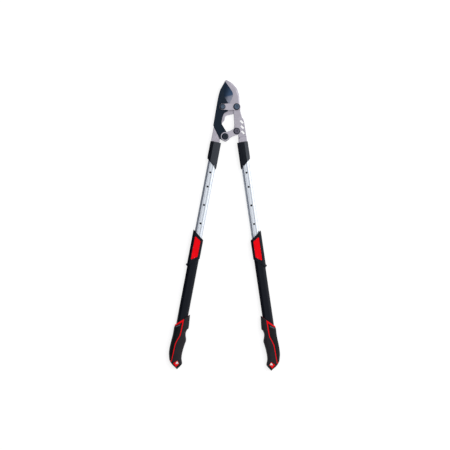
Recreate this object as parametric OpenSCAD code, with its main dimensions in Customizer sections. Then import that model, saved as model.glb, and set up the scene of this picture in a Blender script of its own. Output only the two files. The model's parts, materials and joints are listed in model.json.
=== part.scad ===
// Telescopic compound lopper, closed, with both handles pulled out, lying on its back.
// X runs across the tool, Y from the grips to the tip, Z up from the table.
// The origin lies on the axis of the blade bolt, level with the table.
// A handle is drawn in its own frame: x inwards, y up the handle, z to the front, with its
// origin on the centre line of the tubes at the top of the upper collar. Distances down the
// handle from there are called stations.

/* [Linkage] */
// Blade bolt to lever bolt
pivot_span = 45; // [43:1:50]
// Lever bolt down to the crank bolt
lever_crank = 78; // [74:1:82]
// Blade bolt down to the tail bolt
tail_drop = 95; // [91:1:99]
// Tail bolt to the right of the blade bolt
tail_offset = 8; // [6:0.5:11]
// Extra radius of the blade's tail hole, which takes up the linkage's slack
tail_slack = 1.15; // [1:0.05:1.5]

/* [Plates] */
// Thickness of the hook frame
frame_t = 9; // [7:0.5:11]
// Thickness of the blade and of the lever head's plate
blade_t = 5; // [4:0.25:6]
// Thickness of the bridge plate and of both links
link_t = 4; // [3:0.25:5]
// Running gap between two plates
plate_gap = 0.2; // [0.15:0.05:0.4]
// Radius of a plate round a bolt
eye_r = 12.5; // [11.5:0.25:13.5]
// Radius of the links round the tail bolt
tail_eye_r = 14; // [13:0.25:14.5]
// Width of the links at the waist
waist_w = 19; // [15:0.5:22]
// Width of the bridge plate
bridge_w = 22; // [20:0.5:24]
// Radius of the bridge plate's end round the blade bolt
bridge_end_r = 10; // [9.5:0.25:11]

/* [Blade] */
// Blade tip above the blade bolt
blade_reach = 82; // [77:1:84]
// Blade tip to the right of the blade bolt
tip_x = 8; // [6:0.5:10]
// Corner of the cutting edge's belly to the right of the blade bolt
belly_x = 36.5; // [33:0.5:39]
// Height of the belly above the blade bolt
belly_y = 42; // [38:1:46]
// Heel of the cutting edge above the blade bolt
heel_y = 9.5; // [7:0.5:12]
// Back corner to the left of the blade bolt
back_x = 30; // [28:0.5:32]
// Back corner below the blade bolt
back_drop = 59.5; // [57:0.5:62]
// Width of the ground bevel at the belly
bevel_w = 30; // [24:0.5:31]
// Thickness left at the cutting edge
edge_t = 0.7; // [0.5:0.1:1.2]

/* [Hook] */
// Top of the hook above the blade bolt
hook_reach = 87; // [85:0.5:92]
// Outer side of the hook to the right of the lever bolt
hook_over = 9.5; // [8:0.5:11]
// Width of the hook across its middle
hook_w = 26; // [22:0.5:29]
// Width of the chamfer along the hook's outer edge
chamfer_w = 5; // [3:0.5:7]
// Depth of that chamfer
chamfer_h = 2; // [1:0.25:3]

/* [Lever head slots] */
// Number of slots
slot_count = 3; // [1:1:3]
// Length of a slot
slot_len = 12.5; // [9:0.5:14]
// Width of a slot
slot_w = 6; // [3:0.25:6.5]

/* [Bolts] */
// Shank diameter of every pivot bolt
bolt_d = 10; // [8:0.5:11]
// Radial running clearance of a bolt in its holes
bolt_fit = 0.05; // [0.02:0.01:0.1]
// Diameter of a bolt head
head_d = 21.5; // [19:0.5:22.5]
// Diameter of the blade bolt's smaller head
small_head_d = 18.5; // [17:0.5:20]
// Height of a bolt head
head_h = 6; // [4.5:0.25:7]
// Socket of a bolt head, across the corners
socket_d = 9; // [6:0.5:10]
// Nut size across flats
nut_af = 17; // [15:0.5:19]
// Nut height
nut_h = 7; // [6:0.25:8]
// Diameter of a rear washer
washer_d = 20; // [18:0.5:22]
// Thickness of a rear washer
washer_t = 1.5; // [1:0.25:2]

/* [Handles] */
// Lean of the left handle
left_lean = 10.8; // [9:0.1:12]
// Lean of the right handle
right_lean = 8.3; // [7:0.1:10]
// Top of the left handle to the left of the blade bolt
left_root_x = 21; // [20:0.5:23]
// Top of the right handle to the right of the lever bolt
right_root_x = 17.5; // [16:0.5:19]
// Top of both handles below the blade bolt
root_drop = 113; // [112:0.5:116]
// Width of a head's neck towards the outer side of the handle
neck_out = 16.5; // [15:0.25:17]
// Width of a head's neck towards the inner side
neck_in = 10.5; // [9:0.25:12]
// Thickness of a head's neck
neck_t = 15; // [14:0.25:17]
// Gap between the hook frame's neck and the back edge of the blade
neck_gap = 0.8; // [0.5:0.1:1.5]
// Length of a tang inside its tube
tang_len = 66; // [55:1:75]
// Gap all round a tang
tang_gap = 0.15; // [0.1:0.05:0.3]
// Rivet diameter
rivet_d = 6; // [4:0.5:7]
// Station of the upper rivet
rivet_first = 22; // [16:1:26]
// Upper rivet to the lower one
rivet_pitch = 24; // [16:1:26]

/* [Inner tube] */
// Width of the inner tube
tube_w = 27; // [25:0.25:28]
// Depth of the inner tube
tube_d = 16; // [15:0.25:17]
// Wall of the inner tube
tube_wall = 1.8; // [1.6:0.1:2.2]
// Length left inside the lower handle when it is pulled out
tube_overlap = 115; // [95:1:130]
// Width of the groove along the front
groove_w = 7; // [6.25:0.25:9]
// Depth of the groove
groove_h = 0.8; // [0.6:0.1:1]
// How far each wall of the groove leans outwards
groove_lean = 0.8; // [0:0.1:1]
// Diameter of a lock hole
hole_d = 5.5; // [5:0.25:6]
// Station of the highest lock hole
first_hole = 98.5; // [96:0.5:104]
// Highest lock hole to the next one
short_pitch = 46; // [40:1:50]
// Spacing of the other lock holes
hole_pitch = 60; // [54:1:64]
// Number of lock holes
hole_count = 5; // [4:1:5]

/* [Upper collar] */
// Reach of the upper collar towards the outer side
collar_out = 18.2; // [17:0.2:19.4]
// Reach of the upper collar towards the inner side
collar_in = 16.3; // [15.7:0.2:17.5]
// Reach of the upper collar towards the back
collar_back = 11; // [10:0.25:12]
// Height of the ridge along the front
ridge_h = 12; // [11:0.25:13]
// Ridge from the middle towards the outer side
ridge_x = 7; // [4:0.5:9]
// Height of the front at the inner side
slope_in = 6.2; // [5.5:0.1:8]
// Height of the front at the outer side
slope_out = 4; // [3:0.25:7]
// Length on the outer side
collar_short = 55; // [48:1:58]
// Length on the inner side
collar_long = 86.5; // [80:0.5:86.5]
// Width of the rim round the collar's slanted end
rim_w = 4.5; // [3:0.5:7]
// How far that rim steps in
rim_step = 0.5; // [0.3:0.1:0.8]
// Thickness of the collar's top lip
collar_lip = 2; // [1.5:0.25:3]
// Gap between a plastic sleeve and the tube that it holds
seat_gap = 0.1; // [0.05:0.05:0.2]

/* [Outer tube] */
// Width of the outer tube
outer_w = 33; // [32:0.25:34]
// Depth of the outer tube
outer_d = 22; // [21:0.25:23]
// Wall of the outer tube
outer_wall = 1.5; // [1.2:0.1:1.7]
// Sliding clearance round the inner tube and its guide bush
slide_gap = 0.3; // [0.2:0.05:0.4]
// Length of the guide bush
bush_len = 24; // [18:1:32]
// Thickness of the guide bush's end
bush_end = 3; // [2:0.5:5]

/* [Lock collar] */
// Width of the lock collar
lock_w = 37; // [36:0.25:38]
// Depth of the lock collar
lock_d = 28; // [27.5:0.25:29]
// Lock pin up to the collar's outer top corner
lock_top_out = 37; // [33:0.5:39]
// Lock pin up to the collar's inner top corner
lock_top_in = 9; // [8.5:0.25:12]
// Lock pin down to the collar's inner bottom corner
lock_end_in = 52; // [51.5:0.5:58]
// Lock pin down to the collar's outer bottom corner
lock_end_out = 83; // [79:0.5:87]
// Lock pin down to the top of the outer tube
socket_top = 38; // [34:0.5:42]
// Diameter of the collar screw's head
screw_d = 6.5; // [5.5:0.25:8]
// Height of the collar screw's head
screw_h = 3; // [2:0.25:3.5]
// Collar screw up from the collar's outer bottom corner
screw_up = 6; // [5:0.5:10]

/* [Lock button] */
// Width of the window towards the outer side
window_out = 9.2; // [8:0.2:10]
// Width of the window towards the inner side
window_in = 11; // [9.5:0.25:12]
// Lock pin up to the window's outer top corner
window_top_out = 17.5; // [15:0.5:20]
// Lock pin up to the window's inner top corner
window_top_in = 4.5; // [3.5:0.25:7]
// Lock pin down to the window's inner bottom corner
window_end_in = 46.5; // [44:0.5:48]
// Lock pin down to the window's outer bottom corner
window_end_out = 60; // [56:0.5:62]
// Gap round the button
button_gap = 0.4; // [0.3:0.05:0.6]
// Height of the button above the collar
button_proud = 0.6; // [0.3:0.1:1]
// Thickness of the button at its lower end
button_tip_t = 2.6; // [2:0.1:3]
// Radius of the crown across the button
crown_r = 60; // [40:5:100]
// Radius of the dish for the thumb
dish_r = 40; // [30:1:60]
// Depth of the dish
dish_h = 1.6; // [1:0.1:2]
// Window's outer bottom corner up to the middle of the dish
dish_up = 22; // [18:0.5:26]
// Lock pin down to the button's axle
axle_drop = 20.5; // [18:0.5:23]
// Diameter of the axle
axle_d = 3; // [2.5:0.25:3.25]
// Diameter of the lock pin
pin_d = 5; // [4:0.25:5]
// Gap between the pin's nose and the floor of the groove
pin_gap = 0.2; // [0.1:0.05:0.3]
// Thickness of the leaf spring
leaf_t = 0.4; // [0.3:0.05:0.5]
// Width of the leaf spring
leaf_w = 6; // [4:0.5:8]
// Length of the leaf spring
leaf_len = 22; // [18:0.5:23]
// Length of the leaf spring's foot on the floor of the window
leaf_foot = 9; // [6:0.5:11]

/* [Grip] */
// Length of outer tube that shows between lock collar and grip
tube_show = 182; // [150:1:200]
// Length of the grip along its inner side
grip_len = 178; // [170:1:195]
// Depth of the grip, which sets the height of the tubes above the table
grip_d = 34; // [33.5:0.25:36]
// Reach of the finger guard towards the inner side
guard_reach = 25.5; // [23.5:0.25:26.5]
// Reach at the finger notch
notch_reach = 19.6; // [19:0.1:20.5]
// Reach at the knuckle below the notch
knuckle_reach = 24.8; // [22:0.2:26]
// Reach at the waist
waist_reach = 20.2; // [19.4:0.2:21.5]
// Reach at the heel
heel_reach = 26; // [24:0.25:27]
// Reach of the palm side at the top
palm_top = 20.3; // [19.5:0.2:21.5]
// Reach of the palm side at its fullest
palm_swell = 23.2; // [22:0.2:26]
// Thickness of the soft pads
pad_t = 1.6; // [1.2:0.1:1.8]
// Width of the red line between the pads
line_w = 3.3; // [2.5:0.1:5]
// How far the red line lies below the pads
line_drop = 0.3; // [0.2:0.05:0.6]
// Width of the red band above the palm pad
band_w = 5.5; // [4:0.5:8]
// Gap round a pad
pad_gap = 0.15; // [0.1:0.05:0.25]
// Foot of the outer tube up from the tip of the grip
foot_gap = 40; // [37:1:60]
// Depth of the eyelet
eyelet_d = 22; // [18:0.5:23]
// Width of the eyelet
eyelet_w = 22; // [20:0.5:23]

/* [Hidden] */
$fn = 64;

// Cuts run this far past a face
past = 1;
// Largest turn of one step on a rounded corner
arc_step = 9;

// The four pivots
blade_pivot = [0, 0];
lever_pivot = [pivot_span, 0];
crank_pivot = [pivot_span, -lever_crank];
tail_pivot = [tail_offset, -tail_drop];

// Levels of the plates above the table
frame_z = nut_h + washer_t;
blade_z = frame_z + frame_t + plate_gap;
front_z = blade_z + blade_t + plate_gap;
head_z = front_z + link_t;
rear_z = blade_z - plate_gap - link_t;
tube_z = grip_d / 2;
bolt_r = bolt_d / 2;
hole_r = bolt_r + bolt_fit;

// Handle stations
left_root = [-left_root_x, -root_drop];
right_root = [pivot_span + right_root_x, -root_drop];
hole_stations = [first_hole, for (i = [0:hole_count - 2]) first_hole + short_pitch + i * hole_pitch];
pin_s = hole_stations[hole_count - 1];
tube_top_s = collar_lip + seat_gap;
tube_end_s = pin_s + tube_overlap;
socket_s = pin_s + socket_top;
axle_s = pin_s + axle_drop;
grip_s = pin_s + lock_end_in + tube_show;
tube_foot_s = grip_s + grip_len - foot_gap;
rivet_s = [rivet_first, rivet_first + rivet_pitch];
screw_s = pin_s + lock_end_out - screw_up;

// Oval sizes along a handle
tang_w = tube_w - 2 * (tube_wall + tang_gap);
tang_d = tube_d - 2 * (tube_wall + tang_gap);
bore_w = outer_w - 2 * outer_wall;
bore_d = outer_d - 2 * outer_wall;

// Heights inside the lock, above the centre line of the tubes
lock_front = lock_d / 2;
button_top = lock_front + button_proud;
sleeve_top = tube_d / 2 + slide_gap;
floor_top = sleeve_top + 1;
axle_z = (floor_top + button_top) / 2 - 0.3;
// Gap between the button and the floor just below the axle
button_rise = 0.6;
nose_z = tube_d / 2 - groove_h + pin_gap;
// The axle reaches into the collar on both sides of the window
axle_len = 2 * max(window_in, window_out) + axle_d;

function unit(v) = v / norm(v);
function mix(a, b, f) = a + (b - a) * f;
function flat(p) = [p[0], p[1]];
function meet(p, d, q, e) = p + d * cross(q - p, e) / cross(d, e);

// One corner [x, y, radius] of an outline, as the points of its arc
function corner(before, here, after) =
  let (
    a = unit(flat(before) - flat(here)),
    b = unit(flat(after) - flat(here)),
    open = acos(max(-1, min(1, a * b))),
    turn = 180 - open,
    side = sign(cross(-a, b)),
    centre = flat(here) + unit(a + b) * here[2] / sin(open / 2),
    start = flat(here) + a * here[2] / tan(open / 2) - centre,
    steps = max(1, ceil(turn / arc_step))
  )
  here[2] == 0 || turn < 0.5 ? [flat(here)] :
  [for (i = [0:steps]) let (t = side * turn * i / steps)
    centre + [start[0] * cos(t) - start[1] * sin(t), start[0] * sin(t) + start[1] * cos(t)]];

// A closed outline with rounded corners
function outline(path) =
  let (n = len(path))
  [for (i = [0:n - 1]) each corner(path[(i + n - 1) % n], path[i], path[(i + 1) % n])];

// Points of a handle's frame, x inwards and station down, in the tool's plane
function on_left(x, s) =
  left_root + [x * cos(left_lean) - s * sin(left_lean), -x * sin(left_lean) - s * cos(left_lean)];
function on_right(x, s) =
  right_root + [s * sin(right_lean) - x * cos(right_lean), -x * sin(right_lean) - s * cos(right_lean)];

module left_handle() {
  translate([left_root[0], left_root[1], tube_z]) rotate(-left_lean) children();
}

module right_handle() {
  translate([right_root[0], right_root[1], tube_z]) rotate(right_lean) mirror([1, 0, 0]) children();
}

// Sweeps a cross-section, drawn with x inwards and y to the front, down the handle
module run(from, to) {
  translate([0, -from, 0]) rotate([90, 0, 0]) linear_extrude(to - from) children();
}

// Extrudes an outline of the handle's plan through a range of heights
module plan(low, high) {
  translate([0, 0, low]) linear_extrude(high - low) children();
}

module oval(w, d) {
  square([w - d, d], center = true);
  for (x = [-1, 1]) translate([x * (w - d) / 2, 0]) circle(d = d);
}

module soft_box(w, d, r) {
  square([w - 2 * r, d], center = true);
  square([w, d - 2 * r], center = true);
  for (x = [-1, 1], y = [-1, 1]) translate([x * (w / 2 - r), y * (d / 2 - r)]) circle(r);
}

module bolt_hole(at, r = hole_r) {
  translate([at[0], at[1], -past]) cylinder(r = r, h = head_z + head_h + 2 * past);
}

// Part of a handle between two stations, given at its outer and its inner side
function slant(w, top_out, top_in, end_in, end_out) =
  [[-w, -top_out], [w, -top_in], [w, -end_in], [-w, -end_out]];

// Head

// Outline of the blade, from the tip down the cutting edge and back up the spine
heel = [belly_x - 15, heel_y];
blade_path = [
  [tip_x, blade_reach, 1],
  [belly_x, belly_y, 22],
  [heel[0], heel[1], 1],
  [19.5, -6, 4],
  [17, -13.5, 5],
  [4.5, -19.5, 12],
  [-0.5, -32, 25],
  [-3.5, -47, 12],
  [-2.5, -55, 8],
  [tail_pivot[0] + 4, tail_pivot[1] + 15.5, 10],
  [tail_pivot[0] + 14, tail_pivot[1] + 7, 9],
  [tail_pivot[0] + 14, tail_pivot[1] - 8, 10],
  [tail_pivot[0] + 1, tail_pivot[1] - 17.5, 9],
  [tail_pivot[0] - 17, tail_pivot[1] - 7, 14],
  [-back_x, -back_drop, 2.5],
  [-23, -18, 60],
  [-17.5, 14, 60],
  [-12.5, 39, 40],
  [tip_x - 15.5, 55, 30]
];

// The ground bevel: each ruling runs from the flat of the blade down to the cutting edge
belly_arc = corner(blade_path[0], blade_path[1], blade_path[2]);
bevel_top = [tip_x - 5, 56];
bevel_turn = [belly_x - 2.5 - bevel_w, 33];
function bevel_start(f) =
  f < 0.5 ? mix(bevel_top, bevel_turn, 2 * f) : mix(bevel_turn, heel, 0.5 * (2 * f - 1));
bevel_rulings = [
  [[tip_x - 2, blade_reach + 2], [tip_x + 2, blade_reach + 2]],
  for (i = [0:len(belly_arc) - 1]) [bevel_start(i / (len(belly_arc) - 1)), belly_arc[i]],
  [heel - [1.5, 2], heel + [3, -3]]
];

module bevel_cutter() {
  top = blade_z + blade_t;
  drop = blade_t - edge_t;
  function ruled(line, f) = let (p = mix(line[0], line[1], f)) [p[0], p[1], top - f * drop];
  function above(line, f) = let (p = mix(line[0], line[1], f)) [p[0], p[1], top + past];
  rings = [for (line = bevel_rulings)
    [ruled(line, -0.06), ruled(line, 1.15), above(line, 1.15), above(line, -0.06)]];
  loft(rings);
}

// Closes a row of equal rings of points into a solid
module loft(rings) {
  m = len(rings[0]);
  n = len(rings);
  sides = [for (i = [0:n - 2], j = [0:m - 1]) let (k = (j + 1) % m)
    each [[i * m + j, (i + 1) * m + j, (i + 1) * m + k], [i * m + j, (i + 1) * m + k, i * m + k]]];
  caps = [[for (j = [0:m - 1]) j], [for (j = [m - 1:-1:0]) (n - 1) * m + j]];
  polyhedron([for (r = rings) each r], concat(sides, caps), convexity = 6);
}

module cutting_blade() {
  color("#1d232b") difference() {
    translate([0, 0, blade_z]) linear_extrude(blade_t) polygon(outline(blade_path));
    bevel_cutter();
    bolt_hole(blade_pivot);
    bolt_hole(tail_pivot, bolt_r + tail_slack);
  }
}

// The neck of the hook frame stops just short of the blade's back corner and tail
tail_corner = flat(blade_path[13]);
back_corner = flat(blade_path[14]);
back_way = unit(tail_corner - back_corner);
back_line = back_corner + [back_way[1], -back_way[0]] * neck_gap;
left_up = on_left(0, -1) - on_left(0, 0);
left_neck = [
  on_left(-neck_out, 0),
  on_left(neck_in, 0),
  meet(back_line, back_way, on_left(neck_in, 0), left_up),
  meet(back_line, back_way, on_left(-neck_out, 0), left_up)
];
frame_path = [
  [tip_x - 2, hook_reach - 3.5, 1],
  [tip_x + 4.5, hook_reach, 3],
  [tip_x + 23, hook_reach - 10.5, 30],
  [pivot_span + 2, hook_reach - 29, 22],
  [pivot_span + hook_over - 1, 36, 40],
  [pivot_span + hook_over, 8, 12],
  [pivot_span + 8, -6, 3],
  [pivot_span - 4, -21, 5],
  [12, -27, 6],
  [7.3, -33, 6],
  [6, -43, 8],
  [-2.5, -52, 8],
  [left_neck[2][0] + 5, left_neck[2][1] + 25, 20],
  [left_neck[1][0], left_neck[1][1], 0],
  [left_neck[0][0], left_neck[0][1], 0],
  [left_neck[3][0], left_neck[3][1], 3],
  [3 - back_x, -47, 20],
  [-20, -14, 40],
  [-15, 5, 12],
  [-6, 15, 10],
  [9, 15.5, 8],
  [heel[0] - 3, heel[1] + 3, 5],
  [pivot_span + hook_over - hook_w - 1, 41, 36]
];

// The chamfer runs from the tip of the hook down its outer edge and fades out at both ends
function frame_corner(i) = corner(frame_path[i - 1], frame_path[i], frame_path[i + 1]);
hook_tip = frame_corner(1);
hook_edge = [hook_tip[len(hook_tip) - 1], for (i = [2:5]) each frame_corner(i)];
module hook_chamfer() {
  last = len(hook_edge) - 1;
  top = frame_z + frame_t;
  slope = chamfer_h / chamfer_w;
  rings = [for (i = [0:last]) let (
    way = unit(hook_edge[min(i + 1, last)] - hook_edge[max(i - 1, 0)]),
    out = [-way[1], way[0]],
    w = chamfer_w * min(1, 0.15 + 4 * i / last, 0.15 + 4 * (last - i) / last),
    inner = hook_edge[i] - out * (w + past),
    outer = hook_edge[i] + out * past
  ) [
    [inner[0], inner[1], top + past * slope],
    [outer[0], outer[1], top - (w + past) * slope],
    [outer[0], outer[1], top + past],
    [inner[0], inner[1], top + past]
  ]];
  loft(rings);
}

module tang() {
  run(-6, tang_len) oval(tang_w, tang_d);
}

module rivet_holes() {
  for (s = rivet_s) translate([0, -s, 0])
    cylinder(d = rivet_d + 2 * bolt_fit, h = tube_d + 2 * past, center = true);
}

module hook_frame() {
  color("#c3c1c8") difference() {
    union() {
      translate([0, 0, frame_z]) linear_extrude(frame_t) polygon(outline(frame_path));
      translate([pivot_span, 0, frame_z]) cylinder(r = eye_r, h = frame_t);
      translate([0, 0, tube_z - neck_t / 2]) linear_extrude(neck_t) polygon(left_neck);
      left_handle() tang();
    }
    hook_chamfer();
    bolt_hole(blade_pivot);
    bolt_hole(lever_pivot);
    left_handle() rivet_holes();
  }
}

// Outline of the lever head, from the lever bolt down its outer side and back up
lever_path = [
  [pivot_span + 11.5, -3, 3],
  [pivot_span + 12, -15, 10],
  [pivot_span + 17, -34, 3],
  [pivot_span + 21.5, -38.5, 3],
  [pivot_span + 25, -53, 20],
  [on_right(-neck_out, -8)[0], on_right(-neck_out, -8)[1], 10],
  [on_right(-neck_out, 0)[0], on_right(-neck_out, 0)[1], 0],
  [on_right(neck_in, 0)[0], on_right(neck_in, 0)[1], 0],
  [on_right(neck_in, -11)[0], on_right(neck_in, -11)[1], 8],
  [crank_pivot[0] + 5, crank_pivot[1] - 10, 3],
  [crank_pivot[0] - 10, crank_pivot[1], 3],
  [crank_pivot[0] - 9.5, crank_pivot[1] + 9, 4],
  [crank_pivot[0] - 7.5, crank_pivot[1] + 21, 8],
  [pivot_span - 8.5, -40, 30],
  [pivot_span - 10.5, -11, 5],
  [pivot_span - 8, 3, 3]
];
right_neck = [
  on_right(-neck_out, 0),
  on_right(neck_in, 0),
  on_right(neck_in, -11),
  on_right(neck_in - 6, -17),
  on_right(-neck_out, -17)
];

module lever_slots() {
  first = [pivot_span + 16.3, -48];
  step = [2, -16.7];
  for (i = [0:slot_count - 1]) let (at = first + i * step)
    translate([at[0], at[1], blade_z - past]) rotate(-45)
      linear_extrude(blade_t + 2 * past) soft_box(slot_len, slot_w, 0.8);
}

module lever_head() {
  color("#c3c1c8") difference() {
    union() {
      translate([0, 0, blade_z]) linear_extrude(blade_t) polygon(outline(lever_path));
      for (p = [lever_pivot, crank_pivot])
        translate([p[0], p[1], blade_z]) cylinder(r = eye_r, h = blade_t);
      translate([0, 0, tube_z - neck_t / 2]) linear_extrude(neck_t) polygon(right_neck);
      right_handle() tang();
    }
    bolt_hole(lever_pivot);
    bolt_hole(crank_pivot);
    lever_slots();
    right_handle() rivet_holes();
  }
}

// A waisted bar with a round eye at each of two bolts
function waist(span, a, b, c) =
  [[0, a, 0], [span / 2, b, 60], [span, c, 0], [span, -c, 0], [span / 2, -b, 60], [0, -a, 0]];

module bar(from, to, r1, r2, w, z) {
  way = to - from;
  span = norm(way);
  difference() {
    translate([from[0], from[1], z]) rotate(atan2(way[1], way[0])) union() {
      cylinder(r = r1, h = link_t);
      translate([span, 0, 0]) cylinder(r = r2, h = link_t);
      linear_extrude(link_t) polygon(outline(waist(span, 0.9 * r1, w / 2, 0.9 * r2)));
    }
    bolt_hole(from);
    bolt_hole(to);
  }
}

module bridge_plate() {
  color("#cbc9d0") bar(blade_pivot, lever_pivot, bridge_end_r, bridge_w / 2, bridge_w, front_z);
}

module front_link() {
  color("#cbc9d0") bar(tail_pivot, crank_pivot, tail_eye_r, eye_r, waist_w, front_z);
}

module rear_link() {
  color("#b5b3ba") bar(tail_pivot, crank_pivot, tail_eye_r, eye_r, waist_w, rear_z);
}

// A pivot bolt with a domed head and a hexagon or cross socket, down to the given level
module bolt(at, low, head = head_d, cross_socket = false) {
  r = head / 2;
  translate([at[0], at[1], 0]) difference() {
    rotate_extrude() polygon([
      [0, low], [bolt_r - 0.6, low], [bolt_r, low + 0.6], [bolt_r, head_z], [r, head_z],
      [r, head_z + head_h * 0.45], [r - 1.2, head_z + head_h * 0.75],
      [r - 3.5, head_z + head_h], [0, head_z + head_h]
    ]);
    translate([0, 0, head_z + head_h * 0.4]) {
      if (cross_socket) for (turn = [45, 135]) rotate(turn)
        translate([-socket_d / 2, -socket_d / 8, 0]) cube([socket_d, socket_d / 4, head_h]);
      else cylinder(d = socket_d, h = head_h, $fn = 6);
    }
  }
}

module nut(at, top) {
  translate([at[0], at[1], top - nut_h]) difference() {
    cylinder(d = nut_af / cos(30), h = nut_h, $fn = 6);
    translate([0, 0, -past]) cylinder(r = hole_r, h = nut_h + 2 * past);
  }
}

module washer(at, top) {
  translate([at[0], at[1], top - washer_t]) difference() {
    cylinder(d = washer_d, h = washer_t);
    translate([0, 0, -past]) cylinder(r = hole_r, h = washer_t + 2 * past);
  }
}

module blade_bolt() {
  color("#24262b") bolt(blade_pivot, frame_z - washer_t - nut_h, small_head_d);
}

module lever_bolt() {
  color("#3b4048") bolt(lever_pivot, frame_z - washer_t - nut_h);
}

module crank_bolt() {
  color("#3a3230") bolt(crank_pivot, rear_z - washer_t - nut_h, cross_socket = true);
}

module tail_bolt() {
  color("#17181c") bolt(tail_pivot, rear_z - washer_t - nut_h);
}

module blade_nut() {
  color("#5b5d63") nut(blade_pivot, frame_z - washer_t);
}

module lever_nut() {
  color("#5b5d63") nut(lever_pivot, frame_z - washer_t);
}

module crank_nut() {
  color("#5b5d63") nut(crank_pivot, rear_z - washer_t);
}

module tail_nut() {
  color("#5b5d63") nut(tail_pivot, rear_z - washer_t);
}

module frame_washers() {
  color("#8d8f95") {
    washer(blade_pivot, frame_z);
    washer(lever_pivot, frame_z);
  }
}

module crank_washer() {
  color("#8d8f95") washer(crank_pivot, rear_z);
}

module tail_washer() {
  color("#8d8f95") washer(tail_pivot, rear_z);
}

// Upper handle, drawn in the handle's frame

// The collar's front has two facets that meet in a ridge nearer to the outer side
module collar_part(inset, end) {
  section = [
    [-collar_out + inset, inset - collar_back, 5],
    [collar_in - inset, inset - collar_back, 5],
    [collar_in - inset, slope_in - inset, 2.5],
    [-ridge_x, ridge_h - inset, 1],
    [-collar_out + inset, slope_out - inset, 2.5]
  ];
  intersection() {
    run(0, collar_long) polygon(outline(section));
    plan(-2 * collar_back, 2 * ridge_h) polygon([
      [-collar_out, past], [collar_in, past],
      [collar_in, end - collar_long], [-collar_out, end - collar_short]
    ]);
  }
}

module upper_collar() {
  color("#1b1b1f") difference() {
    union() {
      collar_part(0, rim_w);
      collar_part(rim_step, 0);
    }
    run(tube_top_s - seat_gap, collar_long + past) oval(tube_w + 2 * seat_gap, tube_d + 2 * seat_gap);
    run(-past, collar_lip + past) oval(tang_w + 2 * tang_gap, tang_d + 2 * tang_gap);
  }
}

// The groove's section: its walls run on past the tube's face at the same lean
module groove() {
  floor_half = groove_w / 2;
  top_half = floor_half + 2 * groove_lean;
  translate([0, tube_d / 2])
    polygon([[-floor_half, -groove_h], [floor_half, -groove_h], [top_half, groove_h], [-top_half, groove_h]]);
}

module inner_tube() {
  color("#d4d7de") difference() {
    run(tube_top_s, tube_end_s) oval(tube_w, tube_d);
    run(tube_top_s - past, tube_end_s + past) oval(tube_w - 2 * tube_wall, tube_d - 2 * tube_wall);
    run(tube_top_s - past, tube_end_s + past) groove();
    rivet_holes();
    for (s = hole_stations) translate([0, -s, 0]) cylinder(d = hole_d, h = tube_d);
  }
}

module tang_rivets() {
  color("#9a9ca2") for (s = rivet_s) translate([0, -s, 0])
    cylinder(d = rivet_d, h = tube_d - 2 * groove_h, center = true);
}

module guide_bush() {
  color("#2a2a2e") difference() {
    run(tube_end_s - bush_len, tube_end_s + bush_end) oval(bore_w - 2 * slide_gap, bore_d - 2 * slide_gap);
    run(tube_end_s - bush_len - past, tube_end_s + seat_gap)
      oval(tube_w + 2 * seat_gap, tube_d + 2 * seat_gap);
    run(tube_end_s - past, tube_end_s + bush_end + past)
      oval(tube_w - 2 * tube_wall, tube_d - 2 * tube_wall);
  }
}

// Lower handle, drawn in the handle's frame

module outer_tube() {
  color("#1e1e24") difference() {
    run(socket_s, tube_foot_s) oval(outer_w, outer_d);
    run(socket_s - past, tube_foot_s + past) oval(bore_w, bore_d);
    plan(0, outer_d) window(-past);
    screw_hole();
  }
}

module screw_hole() {
  translate([-lock_w, -screw_s, 0]) rotate([0, 90, 0]) cylinder(d = screw_d / 2 + 2 * bolt_fit, h = lock_w);
}

// Plan of the window in the lock collar, or of the button drawn in by the given gap
module window(gap) {
  polygon(outline([
    [-window_out + gap, window_top_out - pin_s - gap, 2],
    [window_in - gap, window_top_in - pin_s - gap, 2],
    [window_in - gap, -window_end_in - pin_s + gap, 2],
    [-window_out + gap, -window_end_out - pin_s + gap, 2]
  ]));
}

module lock_collar() {
  top = pin_s - lock_top_out;
  end = pin_s + lock_end_out;
  color("#1b1b1f") difference() {
    intersection() {
      run(top, end) soft_box(lock_w, lock_d, 9);
      plan(-lock_d, lock_d)
        polygon(slant(lock_w / 2, top, pin_s - lock_top_in, pin_s + lock_end_in, end));
    }
    run(top - past, socket_s + past) oval(tube_w + 2 * slide_gap, tube_d + 2 * slide_gap);
    run(socket_s - seat_gap, end + past) oval(outer_w + 2 * seat_gap, outer_d + 2 * seat_gap);
    plan(floor_top, lock_d) window(0);
    plan(0, lock_d) intersection() {
      window(0);
      translate([-lock_w, -axle_s + axle_d]) square(2 * lock_w);
    }
    axle_bore(axle_len);
    screw_hole();
  }
}

module axle_bore(length) {
  translate([0, -axle_s, axle_z]) rotate([0, 90, 0])
    cylinder(d = axle_d + 2 * bolt_fit, h = length + 2 * seat_gap, center = true);
}

module collar_screw() {
  reach = lock_w / 2;
  wall = outer_w / 2 - outer_wall;
  color("#2c2d31") translate([0, -screw_s, 0]) rotate([0, -90, 0]) {
    translate([0, 0, wall]) cylinder(d = screw_d / 2, h = reach - wall + 0.5);
    translate([0, 0, reach]) rotate_extrude() polygon([
      [0, 0], [screw_d / 2, 0], [screw_d / 2, screw_h * 0.4],
      [screw_d / 2 - screw_h * 0.5, screw_h], [0, screw_h]
    ]);
  }
}

// Height of the lower half of the button's underside
button_end_s = pin_s + window_end_out;
button_tip_z = button_top - button_tip_t;
function under_button(s) =
  let (from = axle_s + axle_d)
  mix(floor_top + button_rise, button_tip_z, (s - from) / (button_end_s - from));

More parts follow.
